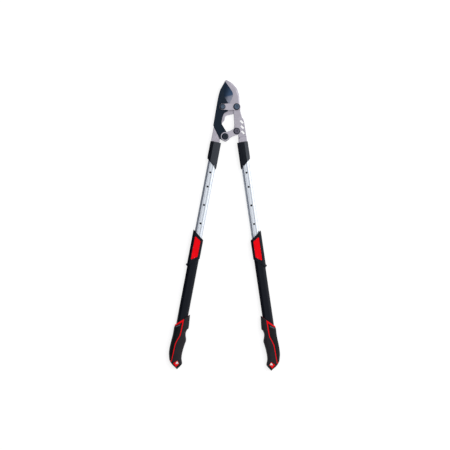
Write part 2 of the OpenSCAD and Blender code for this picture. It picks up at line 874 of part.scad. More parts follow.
// The button rocks on its axle: its lower end goes in and its upper end lifts the pin
module lock_button() {
  top_s = pin_s - window_top_out;
  end_s = button_end_s;
  middle = (window_in - window_out) / 2;
  color("#d8121c") difference() {
    intersection() {
      plan(0, lock_d) window(button_gap);
      translate([-lock_w / 2, 0, 0]) rotate([90, 0, 90]) linear_extrude(lock_w) polygon([
        [-top_s, floor_top], [-axle_s - axle_d, floor_top + button_rise], [-end_s, button_tip_z],
        [-end_s, button_top], [-top_s, button_top]
      ]);
      translate([0, 0, button_top - crown_r]) run(top_s, end_s) circle(crown_r);
    }
    translate([middle, dish_up - end_s, button_top + dish_r - dish_h]) sphere(dish_r);
    axle_bore(lock_w);
    translate([0, -pin_s, 0]) cylinder(d = pin_d + 2 * bolt_fit, h = axle_z + 1);
  }
}

module lock_pin() {
  color("#b9bcc2") translate([0, -pin_s, nose_z]) cylinder(d = pin_d, h = axle_z + 1 - nose_z);
}

module lock_axle() {
  color("#b9bcc2") translate([0, -axle_s, axle_z]) rotate([0, 90, 0])
    cylinder(d = axle_d, h = axle_len, center = true);
}

// A bent leaf between the floor of the window and the lower half of the button
module lock_spring() {
  top = axle_s + 2 * axle_d;
  bend = top + leaf_foot;
  tip = top + leaf_len;
  tip_z = under_button(tip - 2) - leaf_t - pin_gap;
  middle = (window_in - window_out) / 2;
  under = [[top, floor_top], [bend, floor_top], [tip - 2, tip_z], [tip, tip_z]];
  color("#b9bcc2") translate([middle - leaf_w / 2, 0, 0]) rotate([90, 0, 90]) linear_extrude(leaf_w) polygon([
    for (p = under) [-p[0], p[1]],
    for (i = [3:-1:0]) [-under[i][0], under[i][1] + leaf_t]
  ]);
}

// Grip, drawn in the handle's frame

// Rows down the grip: station and reach of the inner side, station and reach of the palm side,
// half depth, and the place of the red line across the grip. Stations are parts of the grip's
// length, depths are parts of its half depth and places are parts of the palm's reach at the top.
half_d = grip_d / 2;
grip_form = [
  [0, 0.86 * guard_reach, 0.222, palm_top, 0.853, 0.21],
  [0.118, 0.94 * guard_reach, 0.28, 1.045 * palm_top, 0.882, 0.205],
  [0.236, guard_reach, 0.337, 1.035 * palm_top, 0.912, 0.2],
  [0.264, mix(notch_reach, guard_reach, 0.45), 0.37, 1.03 * palm_top, 0.93, 0.195],
  [0.315, notch_reach, 0.4, 1.03 * palm_top, 0.94, 0.19],
  [0.371, 1.025 * notch_reach, 0.438, mix(palm_top, palm_swell, 0.3), 0.965, 0.14],
  [0.46, knuckle_reach, 0.494, mix(palm_top, palm_swell, 0.6), 0.98, -0.16],
  [0.534, mix(waist_reach, knuckle_reach, 0.62), 0.562, mix(palm_top, palm_swell, 0.85), 1, -0.345],
  [0.629, mix(waist_reach, knuckle_reach, 0.17), 0.646, palm_swell, 1, -0.375],
  [0.73, waist_reach, 0.73, 0.965 * palm_swell, 0.98, -0.395],
  [0.803, 1.06 * waist_reach, 0.79, 0.87 * palm_swell, 0.94, -0.42],
  [0.86, 0.96 * heel_reach, 0.837, 0.77 * palm_swell, 0.88, -0.44],
  [0.893, heel_reach, 0.882, 0.62 * palm_swell, 0.82, -0.445],
  [0.933, 0.86 * heel_reach, 0.941, 0.17 * palm_swell, 0.735, -0.25],
  [0.972, 0.67 * heel_reach, 0.983, -0.31 * heel_reach, 0.59, 0.6],
  [1, 0.54 * heel_reach, 1, -0.46 * heel_reach, 0.47, 0.64]
];
grip_rows = [for (r = grip_form)
  [r[0] * grip_len, r[1], r[2] * grip_len, -r[3], r[4] * half_d, r[5] * palm_top]];
grip_power = 2.7;
last_row = len(grip_rows) - 1;
pads_end = 12;

// A smooth row anywhere between the given ones
function row(u) =
  let (
    i = min(floor(u), last_row - 1),
    f = u - i,
    a = grip_rows[max(i - 1, 0)],
    b = grip_rows[i],
    c = grip_rows[i + 1],
    d = grip_rows[min(i + 2, last_row)]
  )
  b + 0.5 * f * (c - a + f * (2 * a - 5 * b + 4 * c - d + f * (3 * (b - c) + d - a)));

function bulge(v) = sign(v) * pow(abs(v), 2 / grip_power);

// A point of the grip's surface at row u and angle a, drawn in by the given depth
function grip_point(u, a, depth) =
  let (
    r = row(u),
    k = bulge(cos(a)),
    x = (r[1] + r[3]) / 2 + ((r[1] - r[3]) / 2 - depth) * k,
    s = (r[0] + r[2]) / 2 + (r[0] - r[2]) / 2 * k
  )
  [x, -grip_s - s, (r[4] - depth) * bulge(sin(a))];

// The angle at which the surface crosses a place to one side of the red line
function line_angle(u, offset) =
  let (r = row(u), k = (r[5] + offset - (r[1] + r[3]) / 2) / ((r[1] - r[3]) / 2))
  acos(sign(k) * pow(abs(k), grip_power / 2));

function finger_edge(u) = line_angle(u, line_w / 2);
function palm_edge(u) = line_angle(u, -line_w / 2);
palm_first = band_w / (grip_form[1][2] - grip_form[0][2]) / grip_len;
palm_last = pads_end - 0.5;
row_steps = [for (i = [0:0.5:pads_end]) i];
finger_steps = 8;
palm_steps = 8;
function finger_angle(u, j) = finger_edge(u) * (2 * j / finger_steps - 1);
function palm_angle(u, j) = mix(palm_edge(u), 360 - palm_edge(u), j / palm_steps);

// A shell over part of the grip's surface: outer points there and inner points back
module pad(rows, steps, palm) {
  function angle(u, j) = palm ? palm_angle(u, j) : finger_angle(u, j);
  rings = [for (u = rows) [
    for (j = [0:steps]) grip_point(u, angle(u, j), 0),
    for (j = [steps:-1:0]) grip_point(u, angle(u, j), pad_t)
  ]];
  shell(rings, steps);
}

// Like loft, but each end is closed by a strip because its ring is a curved band
module shell(rings, steps) {
  m = len(rings[0]);
  n = len(rings);
  sides = [for (i = [0:n - 2], j = [0:m - 1]) let (k = (j + 1) % m)
    each [[i * m + j, (i + 1) * m + j, (i + 1) * m + k], [i * m + j, (i + 1) * m + k, i * m + k]]];
  first = [for (j = [0:steps - 1]) each [[j, j + 1, m - 2 - j], [j, m - 2 - j, m - 1 - j]]];
  last = [for (f = first) [for (k = [2:-1:0]) (n - 1) * m + f[k]]];
  polyhedron([for (r = rings) each r], concat(sides, first, last), convexity = 6);
}

module palm_pad() {
  rows = [palm_first, for (u = row_steps) if (u > palm_first + 0.2 && u < palm_last - 0.2) u, palm_last];
  color("#191a1e") difference() {
    pad(rows, palm_steps, true);
    eyelet(eyelet_kite, 2 * grip_d);
  }
}

module finger_pad() {
  color("#26252a") difference() {
    pad(row_steps, finger_steps, false);
    eyelet(eyelet_kite, 2 * grip_d);
  }
}

module grip_end() {
  rows = [for (u = [pads_end + 0.05:0.5:last_row]) u, last_row];
  rings = [for (u = rows) [for (j = [0:23]) grip_point(u, j * 15, 0)]];
  color("#1c1c20") difference() {
    loft(rings);
    eyelet(eyelet_kite, 2 * grip_d);
  }
}

// The eyelet, drawn up from the tip of the grip in parts of its width: a kite through its end, and
// in it the rounded triangle that hangs on a hook
eyelet_kite = eyelet_w * [[0.43, 1.3, 0.07], [0.8, 0.86, 0.07], [0.39, 0.25, 0.07], [-0.2, 0.75, 0.07]];
hang_hole = eyelet_w * [[0.44, 1.21, 0.08], [0.73, 0.8, 0.08], [0.17, 0.63, 0.08]];

module eyelet(path, depth) {
  plan(-depth / 2, depth / 2) translate([0, -grip_s - grip_len]) polygon(outline(path));
}

// The core shows between the pads as the red line, above the palm pad and at its foot
module grip_core() {
  low = pad_t + pad_gap;
  function palm_depth(u) = u < palm_first - 0.02 || u > palm_last + 0.02 ? line_drop : low;
  function ring(u) = [
    for (j = [0:finger_steps]) grip_point(u, finger_angle(u, j), low),
    grip_point(u, line_angle(u, line_w / 2 - pad_gap), line_drop),
    grip_point(u, line_angle(u, pad_gap - line_w / 2), line_drop),
    for (j = [0:palm_steps]) grip_point(u, palm_angle(u, j), palm_depth(u)),
    grip_point(u, -line_angle(u, pad_gap - line_w / 2), line_drop),
    grip_point(u, -line_angle(u, line_w / 2 - pad_gap), line_drop)
  ];
  rows = [
    0, palm_first - 0.03, palm_first - 0.01,
    for (u = row_steps) if (u > palm_first + 0.02 && u < palm_last - 0.02) u,
    palm_last + 0.01, palm_last + 0.03, pads_end
  ];
  color("#d8121c") difference() {
    union() {
      loft([for (u = rows) ring(u)]);
      eyelet(eyelet_kite, eyelet_d);
    }
    run(grip_s - past, tube_foot_s + seat_gap) oval(outer_w + 2 * seat_gap, outer_d + 2 * seat_gap);
    eyelet(hang_hole, 2 * grip_d);
  }
}

hook_frame();
bridge_plate();
cutting_blade();
lever_head();
front_link();
rear_link();
blade_bolt();
lever_bolt();
crank_bolt();
tail_bolt();
blade_nut();
lever_nut();
crank_nut();
tail_nut();
frame_washers();
crank_washer();
tail_washer();
left_handle() upper_collar();  // left_upper_collar
left_handle() inner_tube();  // left_inner_tube
left_handle() tang_rivets();  // left_tang_rivets
left_handle() guide_bush();  // left_guide_bush
left_handle() outer_tube();  // left_outer_tube
left_handle() lock_collar();  // left_lock_collar
left_handle() collar_screw();  // left_collar_screw
left_handle() lock_button();  // left_lock_button
left_handle() lock_pin();  // left_lock_pin
left_handle() lock_axle();  // left_lock_axle
left_handle() lock_spring();  // left_lock_spring
left_handle() grip_core();  // left_grip_core
left_handle() palm_pad();  // left_palm_pad
left_handle() finger_pad();  // left_finger_pad
left_handle() grip_end();  // left_grip_end
right_handle() upper_collar();  // right_upper_collar
right_handle() inner_tube();  // right_inner_tube
right_handle() tang_rivets();  // right_tang_rivets
right_handle() guide_bush();  // right_guide_bush
right_handle() outer_tube();  // right_outer_tube
right_handle() lock_collar();  // right_lock_collar
right_handle() collar_screw();  // right_collar_screw
right_handle() lock_button();  // right_lock_button
right_handle() lock_pin();  // right_lock_pin
right_handle() lock_axle();  // right_lock_axle
right_handle() lock_spring();  // right_lock_spring
right_handle() grip_core();  // right_grip_core
right_handle() palm_pad();  // right_palm_pad
right_handle() finger_pad();  // right_finger_pad
right_handle() grip_end();  // right_grip_end
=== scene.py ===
import json
import math
from collections import namedtuple

import bmesh
import bpy
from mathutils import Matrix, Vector


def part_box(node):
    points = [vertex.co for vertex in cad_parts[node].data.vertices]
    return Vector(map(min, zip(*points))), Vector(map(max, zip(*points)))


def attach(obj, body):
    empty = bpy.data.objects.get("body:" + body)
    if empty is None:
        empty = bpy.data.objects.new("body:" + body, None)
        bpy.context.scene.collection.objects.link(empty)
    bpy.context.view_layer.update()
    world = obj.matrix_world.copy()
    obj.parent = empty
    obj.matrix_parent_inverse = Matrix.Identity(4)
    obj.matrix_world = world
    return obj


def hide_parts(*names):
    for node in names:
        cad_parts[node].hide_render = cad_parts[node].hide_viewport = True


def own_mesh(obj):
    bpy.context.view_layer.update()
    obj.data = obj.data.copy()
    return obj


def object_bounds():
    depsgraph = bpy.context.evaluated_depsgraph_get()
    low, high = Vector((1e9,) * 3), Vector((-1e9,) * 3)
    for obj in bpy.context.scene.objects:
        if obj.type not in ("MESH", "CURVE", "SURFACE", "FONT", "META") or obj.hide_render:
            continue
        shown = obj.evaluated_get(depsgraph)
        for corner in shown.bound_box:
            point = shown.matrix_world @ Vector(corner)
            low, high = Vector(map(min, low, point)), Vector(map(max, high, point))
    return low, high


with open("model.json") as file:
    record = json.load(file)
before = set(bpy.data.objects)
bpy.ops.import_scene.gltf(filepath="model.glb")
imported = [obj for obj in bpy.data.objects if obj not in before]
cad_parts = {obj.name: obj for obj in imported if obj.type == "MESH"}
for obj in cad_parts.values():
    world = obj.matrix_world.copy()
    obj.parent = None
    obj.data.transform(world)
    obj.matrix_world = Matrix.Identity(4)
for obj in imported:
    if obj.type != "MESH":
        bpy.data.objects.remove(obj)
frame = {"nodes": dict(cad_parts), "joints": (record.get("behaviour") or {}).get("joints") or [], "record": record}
CAD_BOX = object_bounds()

bl_info = {
    "name": "Telescopic lopper",
    "version": (1, 0, 0),
    "blender": (4, 5, 0),
    "location": "View3D > Sidebar > Lopper",
    "description": "Finishes a bypass lopper with telescopic handles and soft grips",
    "category": "Object",
}

MM = 0.001
SIDES = ("left", "right")
NODES = frame["nodes"]
SLOT_OF = {row["node"]: row["material_slot"] for row in frame["record"]["subparts"]}
BODY_OF = {node: body for body, nodes in frame["record"]["behaviour"]["bodies"].items() for node in nodes}
JOINTS = {joint["name"]: joint for joint in frame["joints"]}

# How far up the faces of the blade's bevel and the walls of a tube's groove look, at least and at most
BEVEL_FACES = (0.5, 0.9995)
GROOVE_WALLS = (0.3, 0.95)

# Pivot bolts with the finish of their faces, which take a part of the head's radius. The knurl's middle
# lies below the bolt's top, and its teeth are sunk into the head, in millimetres.
BOLT_FACES = {
    "blade_bolt": "bolt_blue",
    "lever_bolt": "bolt_blue",
    "crank_bolt": "bolt_brown",
    "tail_bolt": "bolt",
}
FACE_PART = 0.72
KNURL_DROP = 4.7
KNURL_SINK = 0.1

# Stations down a handle from the top of its upper collar, in millimetres
FIRST_HOLE = 98.5
SECOND_HOLE = 144.5
HOLE_PITCH = 60.0
AXLE_STATION = 345.0
GRIP_STATION = 558.5
TUBE_FOOT = 696.5

# Tubes, in millimetres: half of their flat front, the radius halfway through the wall of an inner tube's
# round sides, the height of its groove's floor, and the radius of the bore for an outer tube in the grip
TUBE_FLAT = 5.5
TUBE_MIDDLE = 6.9
GROOVE_FLOOR = 7.2
BORE_RADIUS = 11.1

# Driving sizes of a grip, in millimetres
GRIP_LENGTH = 178.0
HALF_DEPTH = 17.0
GUARD = 25.5
NOTCH = 19.6
KNUCKLE = 24.8
WAIST = 20.2
HEEL = 26.0
PALM_TOP = 20.3
PALM_SWELL = 23.2
BAND_WIDTH = 5.5
EYELET_WIDTH = 22.0


def mix(a, b, f):
    """The value at a part of the way from one to another"""
    return a + (b - a) * f


def steps(first, last, count):
    """Equal steps from one value to another, both included"""
    return [first + (last - first) * i / count for i in range(count + 1)]


# Rows down a grip: station and reach of the finger side, station and reach of the palm side, half
# depth, and the place of the red line across the grip. Stations are parts of the grip's length,
# depths are parts of its half depth and places are parts of the palm's reach at the top.
GRIP_FORM = (
    (0, 0.86 * GUARD, 0.222, PALM_TOP, 0.853, 0.21),
    (0.118, 0.94 * GUARD, 0.28, 1.045 * PALM_TOP, 0.882, 0.205),
    (0.236, GUARD, 0.337, 1.035 * PALM_TOP, 0.912, 0.2),
    (0.264, mix(NOTCH, GUARD, 0.45), 0.37, 1.03 * PALM_TOP, 0.93, 0.195),
    (0.315, NOTCH, 0.4, 1.03 * PALM_TOP, 0.94, 0.19),
    (0.371, 1.025 * NOTCH, 0.438, mix(PALM_TOP, PALM_SWELL, 0.3), 0.965, 0.14),
    (0.46, KNUCKLE, 0.494, mix(PALM_TOP, PALM_SWELL, 0.6), 0.98, -0.16),
    (0.534, mix(WAIST, KNUCKLE, 0.62), 0.562, mix(PALM_TOP, PALM_SWELL, 0.85), 1, -0.345),
    (0.629, mix(WAIST, KNUCKLE, 0.17), 0.646, PALM_SWELL, 1, -0.375),
    (0.73, WAIST, 0.73, 0.965 * PALM_SWELL, 0.98, -0.395),
    (0.803, 1.06 * WAIST, 0.79, 0.87 * PALM_SWELL, 0.94, -0.42),
    (0.86, 0.96 * HEEL, 0.837, 0.77 * PALM_SWELL, 0.88, -0.44),
    (0.893, HEEL, 0.882, 0.62 * PALM_SWELL, 0.82, -0.445),
    (0.933, 0.86 * HEEL, 0.941, 0.17 * PALM_SWELL, 0.735, -0.25),
    (0.972, 0.67 * HEEL, 0.983, -0.31 * HEEL, 0.59, 0.6),
    (1, 0.54 * HEEL, 1, -0.46 * HEEL, 0.47, 0.64),
)
GripRow = namedtuple("GripRow", "finger_station finger palm_station palm depth line")
# The same rows in millimetres, with the palm on the negative side
GRIP_ROWS = [
    GripRow(a * GRIP_LENGTH, finger, b * GRIP_LENGTH, -palm, depth * HALF_DEPTH, line * PALM_TOP)
    for a, finger, b, palm, depth, line in GRIP_FORM
]
LAST_ROW = len(GRIP_ROWS) - 1
# How square the grip's section is, and how far its pieces lie under the solid's surface, in millimetres
GRIP_POWER = 2.7
GRIP_SKIN = 0.13
# Places counted in rows: where the pads end and the heel begins, and both ends of the palm pad
PADS_END = 12
PALM_FIRST = BAND_WIDTH / (GRIP_FORM[1][2] - GRIP_FORM[0][2]) / GRIP_LENGTH
PALM_LAST = 11.7
# The eyelet's kite and hole, up from the tip of the grip in parts of the eyelet's width
EYELET_KITE = ((0.43, 1.3), (0.8, 0.86), (0.4, 0.3), (-0.13, 0.77))
HANG_HOLE = ((0.44, 1.21), (0.73, 0.80), (0.17, 0.63))
# Steps across a pad and down the palm pad
PAD_ACROSS = 28
PALM_STEPS = 88

WHITE = (1.0, 1.0, 1.0)
# Tint of the shine on black mouldings
COOL = (0.78, 0.86, 1.0)
# Tone towards which scuffs fade
DUST = 0.2


class LopperSizes(bpy.types.PropertyGroup):
    """Sizes of the finish that a user may change"""

    cast_skin: bpy.props.FloatProperty(
        name="Casting skin", description="Fineness of the castings' skin", default=0.6 * MM, unit="LENGTH"
    )
    plate_skin: bpy.props.FloatProperty(
        name="Plate skin", description="Fineness of the plates' skin", default=0.4 * MM, unit="LENGTH"
    )
    collar_skin: bpy.props.FloatProperty(
        name="Collar skin", description="Fineness of the lock collars' skin", default=0.6 * MM, unit="LENGTH"
    )
    plate_round: bpy.props.FloatProperty(
        name="Plate edge", description="Rounding of stamped and turned metal", default=0.3 * MM, unit="LENGTH"
    )
    pad_round: bpy.props.FloatProperty(
        name="Pad edge", description="Rounding of the soft pads' edges", default=0.5 * MM, unit="LENGTH"
    )
    pad_thickness: bpy.props.FloatProperty(
        name="Pad thickness", description="Thickness of the soft pads", default=1.6 * MM, unit="LENGTH"
    )
    line_width: bpy.props.FloatProperty(
        name="Red line", description="Width of the red line between the pads", default=3.3 * MM, unit="LENGTH"
    )
    knurl_teeth: bpy.props.IntProperty(
        name="Knurl teeth", description="Teeth round the head of a pivot bolt", default=40, min=8, max=80
    )


class LopperColours(bpy.types.PropertyGroup):
    """Colours of the lopper's finishes"""

    casting: bpy.props.FloatVectorProperty(
        name="Casting", description="Satin silver of the heads", default=(0.50, 0.475, 0.545), subtype="COLOR"
    )
    plate: bpy.props.FloatVectorProperty(
        name="Plate", description="Bridge plate and links", default=(0.52, 0.495, 0.565), subtype="COLOR"
    )
    blade: bpy.props.FloatVectorProperty(
        name="Blade", description="Coating of the blade", default=(0.008, 0.016, 0.030), subtype="COLOR"
    )
    bevel: bpy.props.FloatVectorProperty(
        name="Bevel", description="Ground steel of the bevel", default=(0.235, 0.25, 0.32), subtype="COLOR"
    )
    tube: bpy.props.FloatVectorProperty(
        name="Tube", description="Anodised inner tubes", default=(0.76, 0.81, 0.89), subtype="COLOR"
    )
    black: bpy.props.FloatVectorProperty(
        name="Black", description="Mouldings and outer tubes", default=(0.002, 0.0024, 0.005), subtype="COLOR"
    )
    red: bpy.props.FloatVectorProperty(
        name="Red", description="Lock buttons and grip cores", default=(0.95, 0.002, 0.008), subtype="COLOR"
    )
    palm: bpy.props.FloatVectorProperty(
        name="Palm pad", description="Soft palm side", default=(0.005, 0.005, 0.006), subtype="COLOR"
    )
    finger: bpy.props.FloatVectorProperty(
        name="Finger pad", description="Soft finger side", default=(0.016, 0.014, 0.018), subtype="COLOR"
    )


# Node trees

NUMBER = "NodeSocketFloat"
WHOLE = "NodeSocketInt"
VECTOR = "NodeSocketVector"
MATERIAL = "NodeSocketMaterial"
GEOMETRY = "NodeSocketGeometry"


def add(tree, kind, **values):
    """Adds a node; values set its properties, or its inputs where the name is one"""
    node = tree.nodes.new(kind)
    for key, value in values.items():
        if key in node.inputs:
            node.inputs[key].default_value = value
        else:
            setattr(node, key, value)
    return node


def feed(tree, entry, value):
    """Sets an input to a number, or links a socket to it"""
    if isinstance(value, (int, float)):
        entry.default_value = value
    else:
        tree.links.new(value, entry)


def wire(tree, *ways):
    """Links nodes; each way is a node, its output, the next node and that one's input"""
    for start, output, end, entry in ways:
        tree.links.new(start.outputs[output], end.inputs[entry])


def new_tree(name, kind, inputs, **outputs):
    """A node group with named inputs and outputs, and its two ends"""
    tree = bpy.data.node_groups.new(name, kind)
    for key, socket_type, value in inputs:
        entry = tree.interface.new_socket(name=key, in_out="INPUT", socket_type=socket_type)
        if value is not None:
            entry.default_value = value
    for key, socket_type in outputs.items():
        tree.interface.new_socket(name=key, in_out="OUTPUT", socket_type=socket_type)
    return tree, add(tree, "NodeGroupInput"), add(tree, "NodeGroupOutput")


def surface_place(tree):
    """Where a point lies in its object's own frame"""
    return add(tree, "ShaderNodeTexCoord").outputs["Object"]


def noise(tree, place, scale, detail):
    """A noise texture; scale is a number or a socket"""
    node = add(tree, "ShaderNodeTexNoise", Detail=detail)
    tree.links.new(place, node.inputs["Vector"])
    feed(tree, node.inputs["Scale"], scale)
    return node.outputs["Fac"]


def maths(tree, operation, a, b):
    """A math node on two sockets or numbers"""
    node = add(tree, "ShaderNodeMath", operation=operation)
    feed(tree, node.inputs[0], a)
    feed(tree, node.inputs[1], b)
    return node.outputs[0]


def grain_group():
    """Fine pitted grain of castings and mouldings, and a slow change of tone across them"""
    inputs = (("Scale", NUMBER, 900.0),)
    tree, enter, leave = new_tree("Grain", "ShaderNodeTree", inputs, Height=NUMBER, Tone=NUMBER)
    place = surface_place(tree)
    scale = enter.outputs["Scale"]
    finer = maths(tree, "MULTIPLY", scale, 3.7)
    slower = maths(tree, "MULTIPLY", scale, 0.05)
    shallow = maths(tree, "MULTIPLY", noise(tree, place, finer, detail=1.0), 0.5)
    height = maths(tree, "ADD", noise(tree, place, scale, detail=2.0), shallow)
    tree.links.new(height, leave.inputs["Height"])
    tree.links.new(noise(tree, place, slower, detail=4.0), leave.inputs["Tone"])
    return tree


def brushed_group():
    """Fine lines along one direction, as drawn, brushed or ground metal has"""
    inputs = (("Turn", VECTOR, (0.0, 0.0, 0.0)), ("Fineness", NUMBER, 2500.0))
    tree, enter, leave = new_tree("Brushed lines", "ShaderNodeTree", inputs, Height=NUMBER, Streak=NUMBER)
    stretched = add(tree, "ShaderNodeMapping", Scale=(1.0, 0.02, 1.0))
    tree.links.new(surface_place(tree), stretched.inputs["Vector"])
    tree.links.new(enter.outputs["Turn"], stretched.inputs["Rotation"])
    place = stretched.outputs["Vector"]
    fineness = enter.outputs["Fineness"]
    wider = maths(tree, "MULTIPLY", fineness, 0.12)
    tree.links.new(noise(tree, place, fineness, detail=2.0), leave.inputs["Height"])
    tree.links.new(noise(tree, place, wider, detail=2.0), leave.inputs["Streak"])
    return tree


def scuff_group():
    """Patches where handling has polished or dusted a surface"""
    inputs = (("Scale", NUMBER, 60.0), ("Spread", NUMBER, 0.4))
    tree, enter, leave = new_tree("Scuffs", "ShaderNodeTree", inputs, Mask=NUMBER)
    place = surface_place(tree)
    scale = enter.outputs["Scale"]
    finer = maths(tree, "MULTIPLY", scale, 14.0)
    specks = maths(tree, "ADD", noise(tree, place, finer, detail=3.0), 0.5)
    patches = maths(tree, "MULTIPLY", noise(tree, place, scale, detail=6.0), specks)
    sharp = add(tree, "ShaderNodeMapRange", clamp=True)
    tree.links.new(patches, sharp.inputs["Value"])
    tree.links.new(maths(tree, "SUBTRACT", 1.0, enter.outputs["Spread"]), sharp.inputs["From Min"])
    tree.links.new(sharp.outputs["Result"], leave.inputs["Mask"])
    return tree


GROUPS = {}


def groups():
    """The shared shader groups, built once"""
    if not GROUPS:
        GROUPS.update(grain=grain_group(), brushed=brushed_group(), scuffs=scuff_group())
    return GROUPS


class Finish:
    """A material with one Principled shader, and short ways to vary it over the surface"""

    def __init__(self, name, colour, roughness, metallic=0.0, specular=0.5):
        self.material = bpy.data.materials.new(name)
        self.material.use_nodes = True
        self.tree = self.material.node_tree
        self.tree.nodes.clear()
        self.colour = tuple(colour)
        self.shader = add(self.tree, "ShaderNodeBsdfPrincipled", Roughness=roughness, Metallic=metallic)
        self.shader.inputs["Base Color"].default_value = (*self.colour, 1.0)
        self.shader.inputs["Specular IOR Level"].default_value = specular
        self.out = add(self.tree, "ShaderNodeOutputMaterial")
        self.tree.links.new(self.shader.outputs["BSDF"], self.out.inputs["Surface"])

    def group(self, name, **values):
        """Places a shared group with its own values"""
        return add(self.tree, "ShaderNodeGroup", node_tree=groups()[name], **values)

    def tint(self, mask, colour, base=None):
        """Mixes another colour in where the mask is high, over the plain colour or an earlier tint"""
        blend = add(self.tree, "ShaderNodeMix", data_type="RGBA")
        self.tree.links.new(mask, blend.inputs["Factor"])
        if base is None:
            blend.inputs["A"].default_value = (*self.colour, 1.0)
        else:
            self.tree.links.new(base, blend.inputs["A"])
        blend.inputs["B"].default_value = (*colour, 1.0)
        self.tree.links.new(blend.outputs["Result"], self.shader.inputs["Base Color"])
        return blend.outputs["Result"]

    def vary_roughness(self, mask, low, high):
        spread = add(self.tree, "ShaderNodeMapRange", clamp=True)
        spread.inputs["To Min"].default_value = low
        spread.inputs["To Max"].default_value = high
        self.tree.links.new(mask, spread.inputs["Value"])
        self.tree.links.new(spread.outputs["Result"], self.shader.inputs["Roughness"])

    def bump(self, height, strength, depth):
        """Lets the surface follow a height; its depth is in millimetres"""
        node = add(self.tree, "ShaderNodeBump", Strength=strength, Distance=depth * MM)
        self.tree.links.new(height, node.inputs["Height"])
        self.tree.links.new(node.outputs["Normal"], self.shader.inputs["Normal"])


# Materials

def scaled(colour, factor):
    """The colour made lighter or darker"""
    return tuple(min(1.0, c * factor) for c in colour)


def moulded(name, colour, roughness, specular, grain, depth, worn=0.12, gloss=WHITE):
    """Plastic or paint with a fine grain, a slow change of tone and faint scuffs; gloss tints its shine"""
    finish = Finish(name, colour, roughness, specular=specular)
    finish.shader.inputs["Specular Tint"].default_value = (*gloss, 1.0)
    grains = finish.group("grain", Scale=grain)
    scuffs = finish.group("scuffs", Scale=70.0, Spread=0.45)
    base = finish.tint(grains.outputs["Tone"], scaled(colour, factor=0.88))
    finish.tint(scuffs.outputs["Mask"], tuple(mix(c, DUST, worn) for c in colour), base)
    finish.vary_roughness(grains.outputs["Tone"], low=roughness - 0.06, high=roughness + 0.08)
    finish.bump(grains.outputs["Height"], strength=0.25, depth=depth)
    return finish.material


def black_moulded(name, colour, roughness, specular, grain):
    """Black plastic or paint with a cool shine and little wear"""
    return moulded(name, colour, roughness, specular, grain, depth=0.06, worn=0.02, gloss=COOL)


def cast_metal(name, colour, roughness):
    """Satin casting: pitted grain, cloudy tone and rubbed patches"""
    finish = Finish(name, colour, roughness, metallic=0.92)
    grains = finish.group("grain", Scale=700.0)
    scuffs = finish.group("scuffs", Scale=45.0, Spread=0.5)
    base = finish.tint(grains.outputs["Tone"], scaled(colour, factor=0.84))
    finish.tint(scuffs.outputs["Mask"], scaled(colour, factor=1.18), base)
    finish.vary_roughness(grains.outputs["Tone"], low=roughness - 0.08, high=roughness + 0.08)
    finish.bump(grains.outputs["Height"], strength=0.35, depth=0.15)
    return finish.material


def drawn_metal(name, colour, roughness, turn, fineness, strength=0.12, metallic=1.0):
    """Metal with fine lines along one direction of the tool's plane"""
    finish = Finish(name, colour, roughness, metallic=metallic)
    lines = finish.group("brushed", Turn=(0.0, 0.0, turn), Fineness=fineness)
    scuffs = finish.group("scuffs", Scale=50.0, Spread=0.42)
    base = finish.tint(lines.outputs["Streak"], scaled(colour, factor=0.86))
    finish.tint(scuffs.outputs["Mask"], scaled(colour, factor=0.7), base)
    finish.vary_roughness(lines.outputs["Streak"], low=roughness - 0.06, high=roughness + 0.1)
    finish.bump(lines.outputs["Height"], strength, depth=0.05)
    return finish.material


def ground_bevel(name, steel, painted_dark_tone):
    """The blade's bevel: bare ground steel at the heel that fades through a lighter painted band into a painted
    dark reflection towards the tip, and into painted shade towards the back
    """
    finish = Finish(name, steel, roughness=0.3, metallic=1.0)
    tree = finish.tree
    place = surface_place(tree)
    ripple = maths(tree, "MULTIPLY", noise(tree, place, scale=220.0, detail=4.0), 4.0 * MM)
    lines = finish.group("brushed", Turn=(0.0, 0.0, math.radians(-62)), Fineness=3200.0)
    colour = finish.tint(lines.outputs["Streak"], scaled(steel, factor=0.75))
    to_tip, to_back = (-0.27, 0.963, 0.0), (-1.0, 0.15, 0.0)
    # Each fade has its direction, its first and last place along it in millimetres, and its colour; the colours
    # are painted reflection towards the tip and painted shade towards the back
    for way, first, last, tone in (
        (to_tip, 27.0, 33.0, scaled(painted_dark_tone, factor=2.0)),
        (to_tip, 31.0, 60.0, painted_dark_tone),
        (to_back, -16.0, 4.0, scaled(painted_dark_tone, factor=0.55)),
    ):
        along = add(tree, "ShaderNodeVectorMath", operation="DOT_PRODUCT")
        along.inputs[1].default_value = way
        tree.links.new(place, along.inputs[0])
        fade = add(tree, "ShaderNodeMapRange", clamp=True, interpolation_type="SMOOTHSTEP")
        fade.inputs["From Min"].default_value = first * MM
        fade.inputs["From Max"].default_value = last * MM
        tree.links.new(maths(tree, "ADD", along.outputs["Value"], ripple), fade.inputs["Value"])
        colour = finish.tint(fade.outputs["Result"], tone, colour)
    finish.vary_roughness(lines.outputs["Streak"], low=0.2, high=0.36)
    finish.bump(lines.outputs["Height"], strength=0.2, depth=0.05)
    return finish.material


def handle_turn(side):
    """Angle of a handle's long direction in the tool's plane, from straight down"""
    axis = JOINTS[f"{side}_telescope"]["axis"]
    return math.atan2(axis[0], -axis[1])


MATERIALS = {}


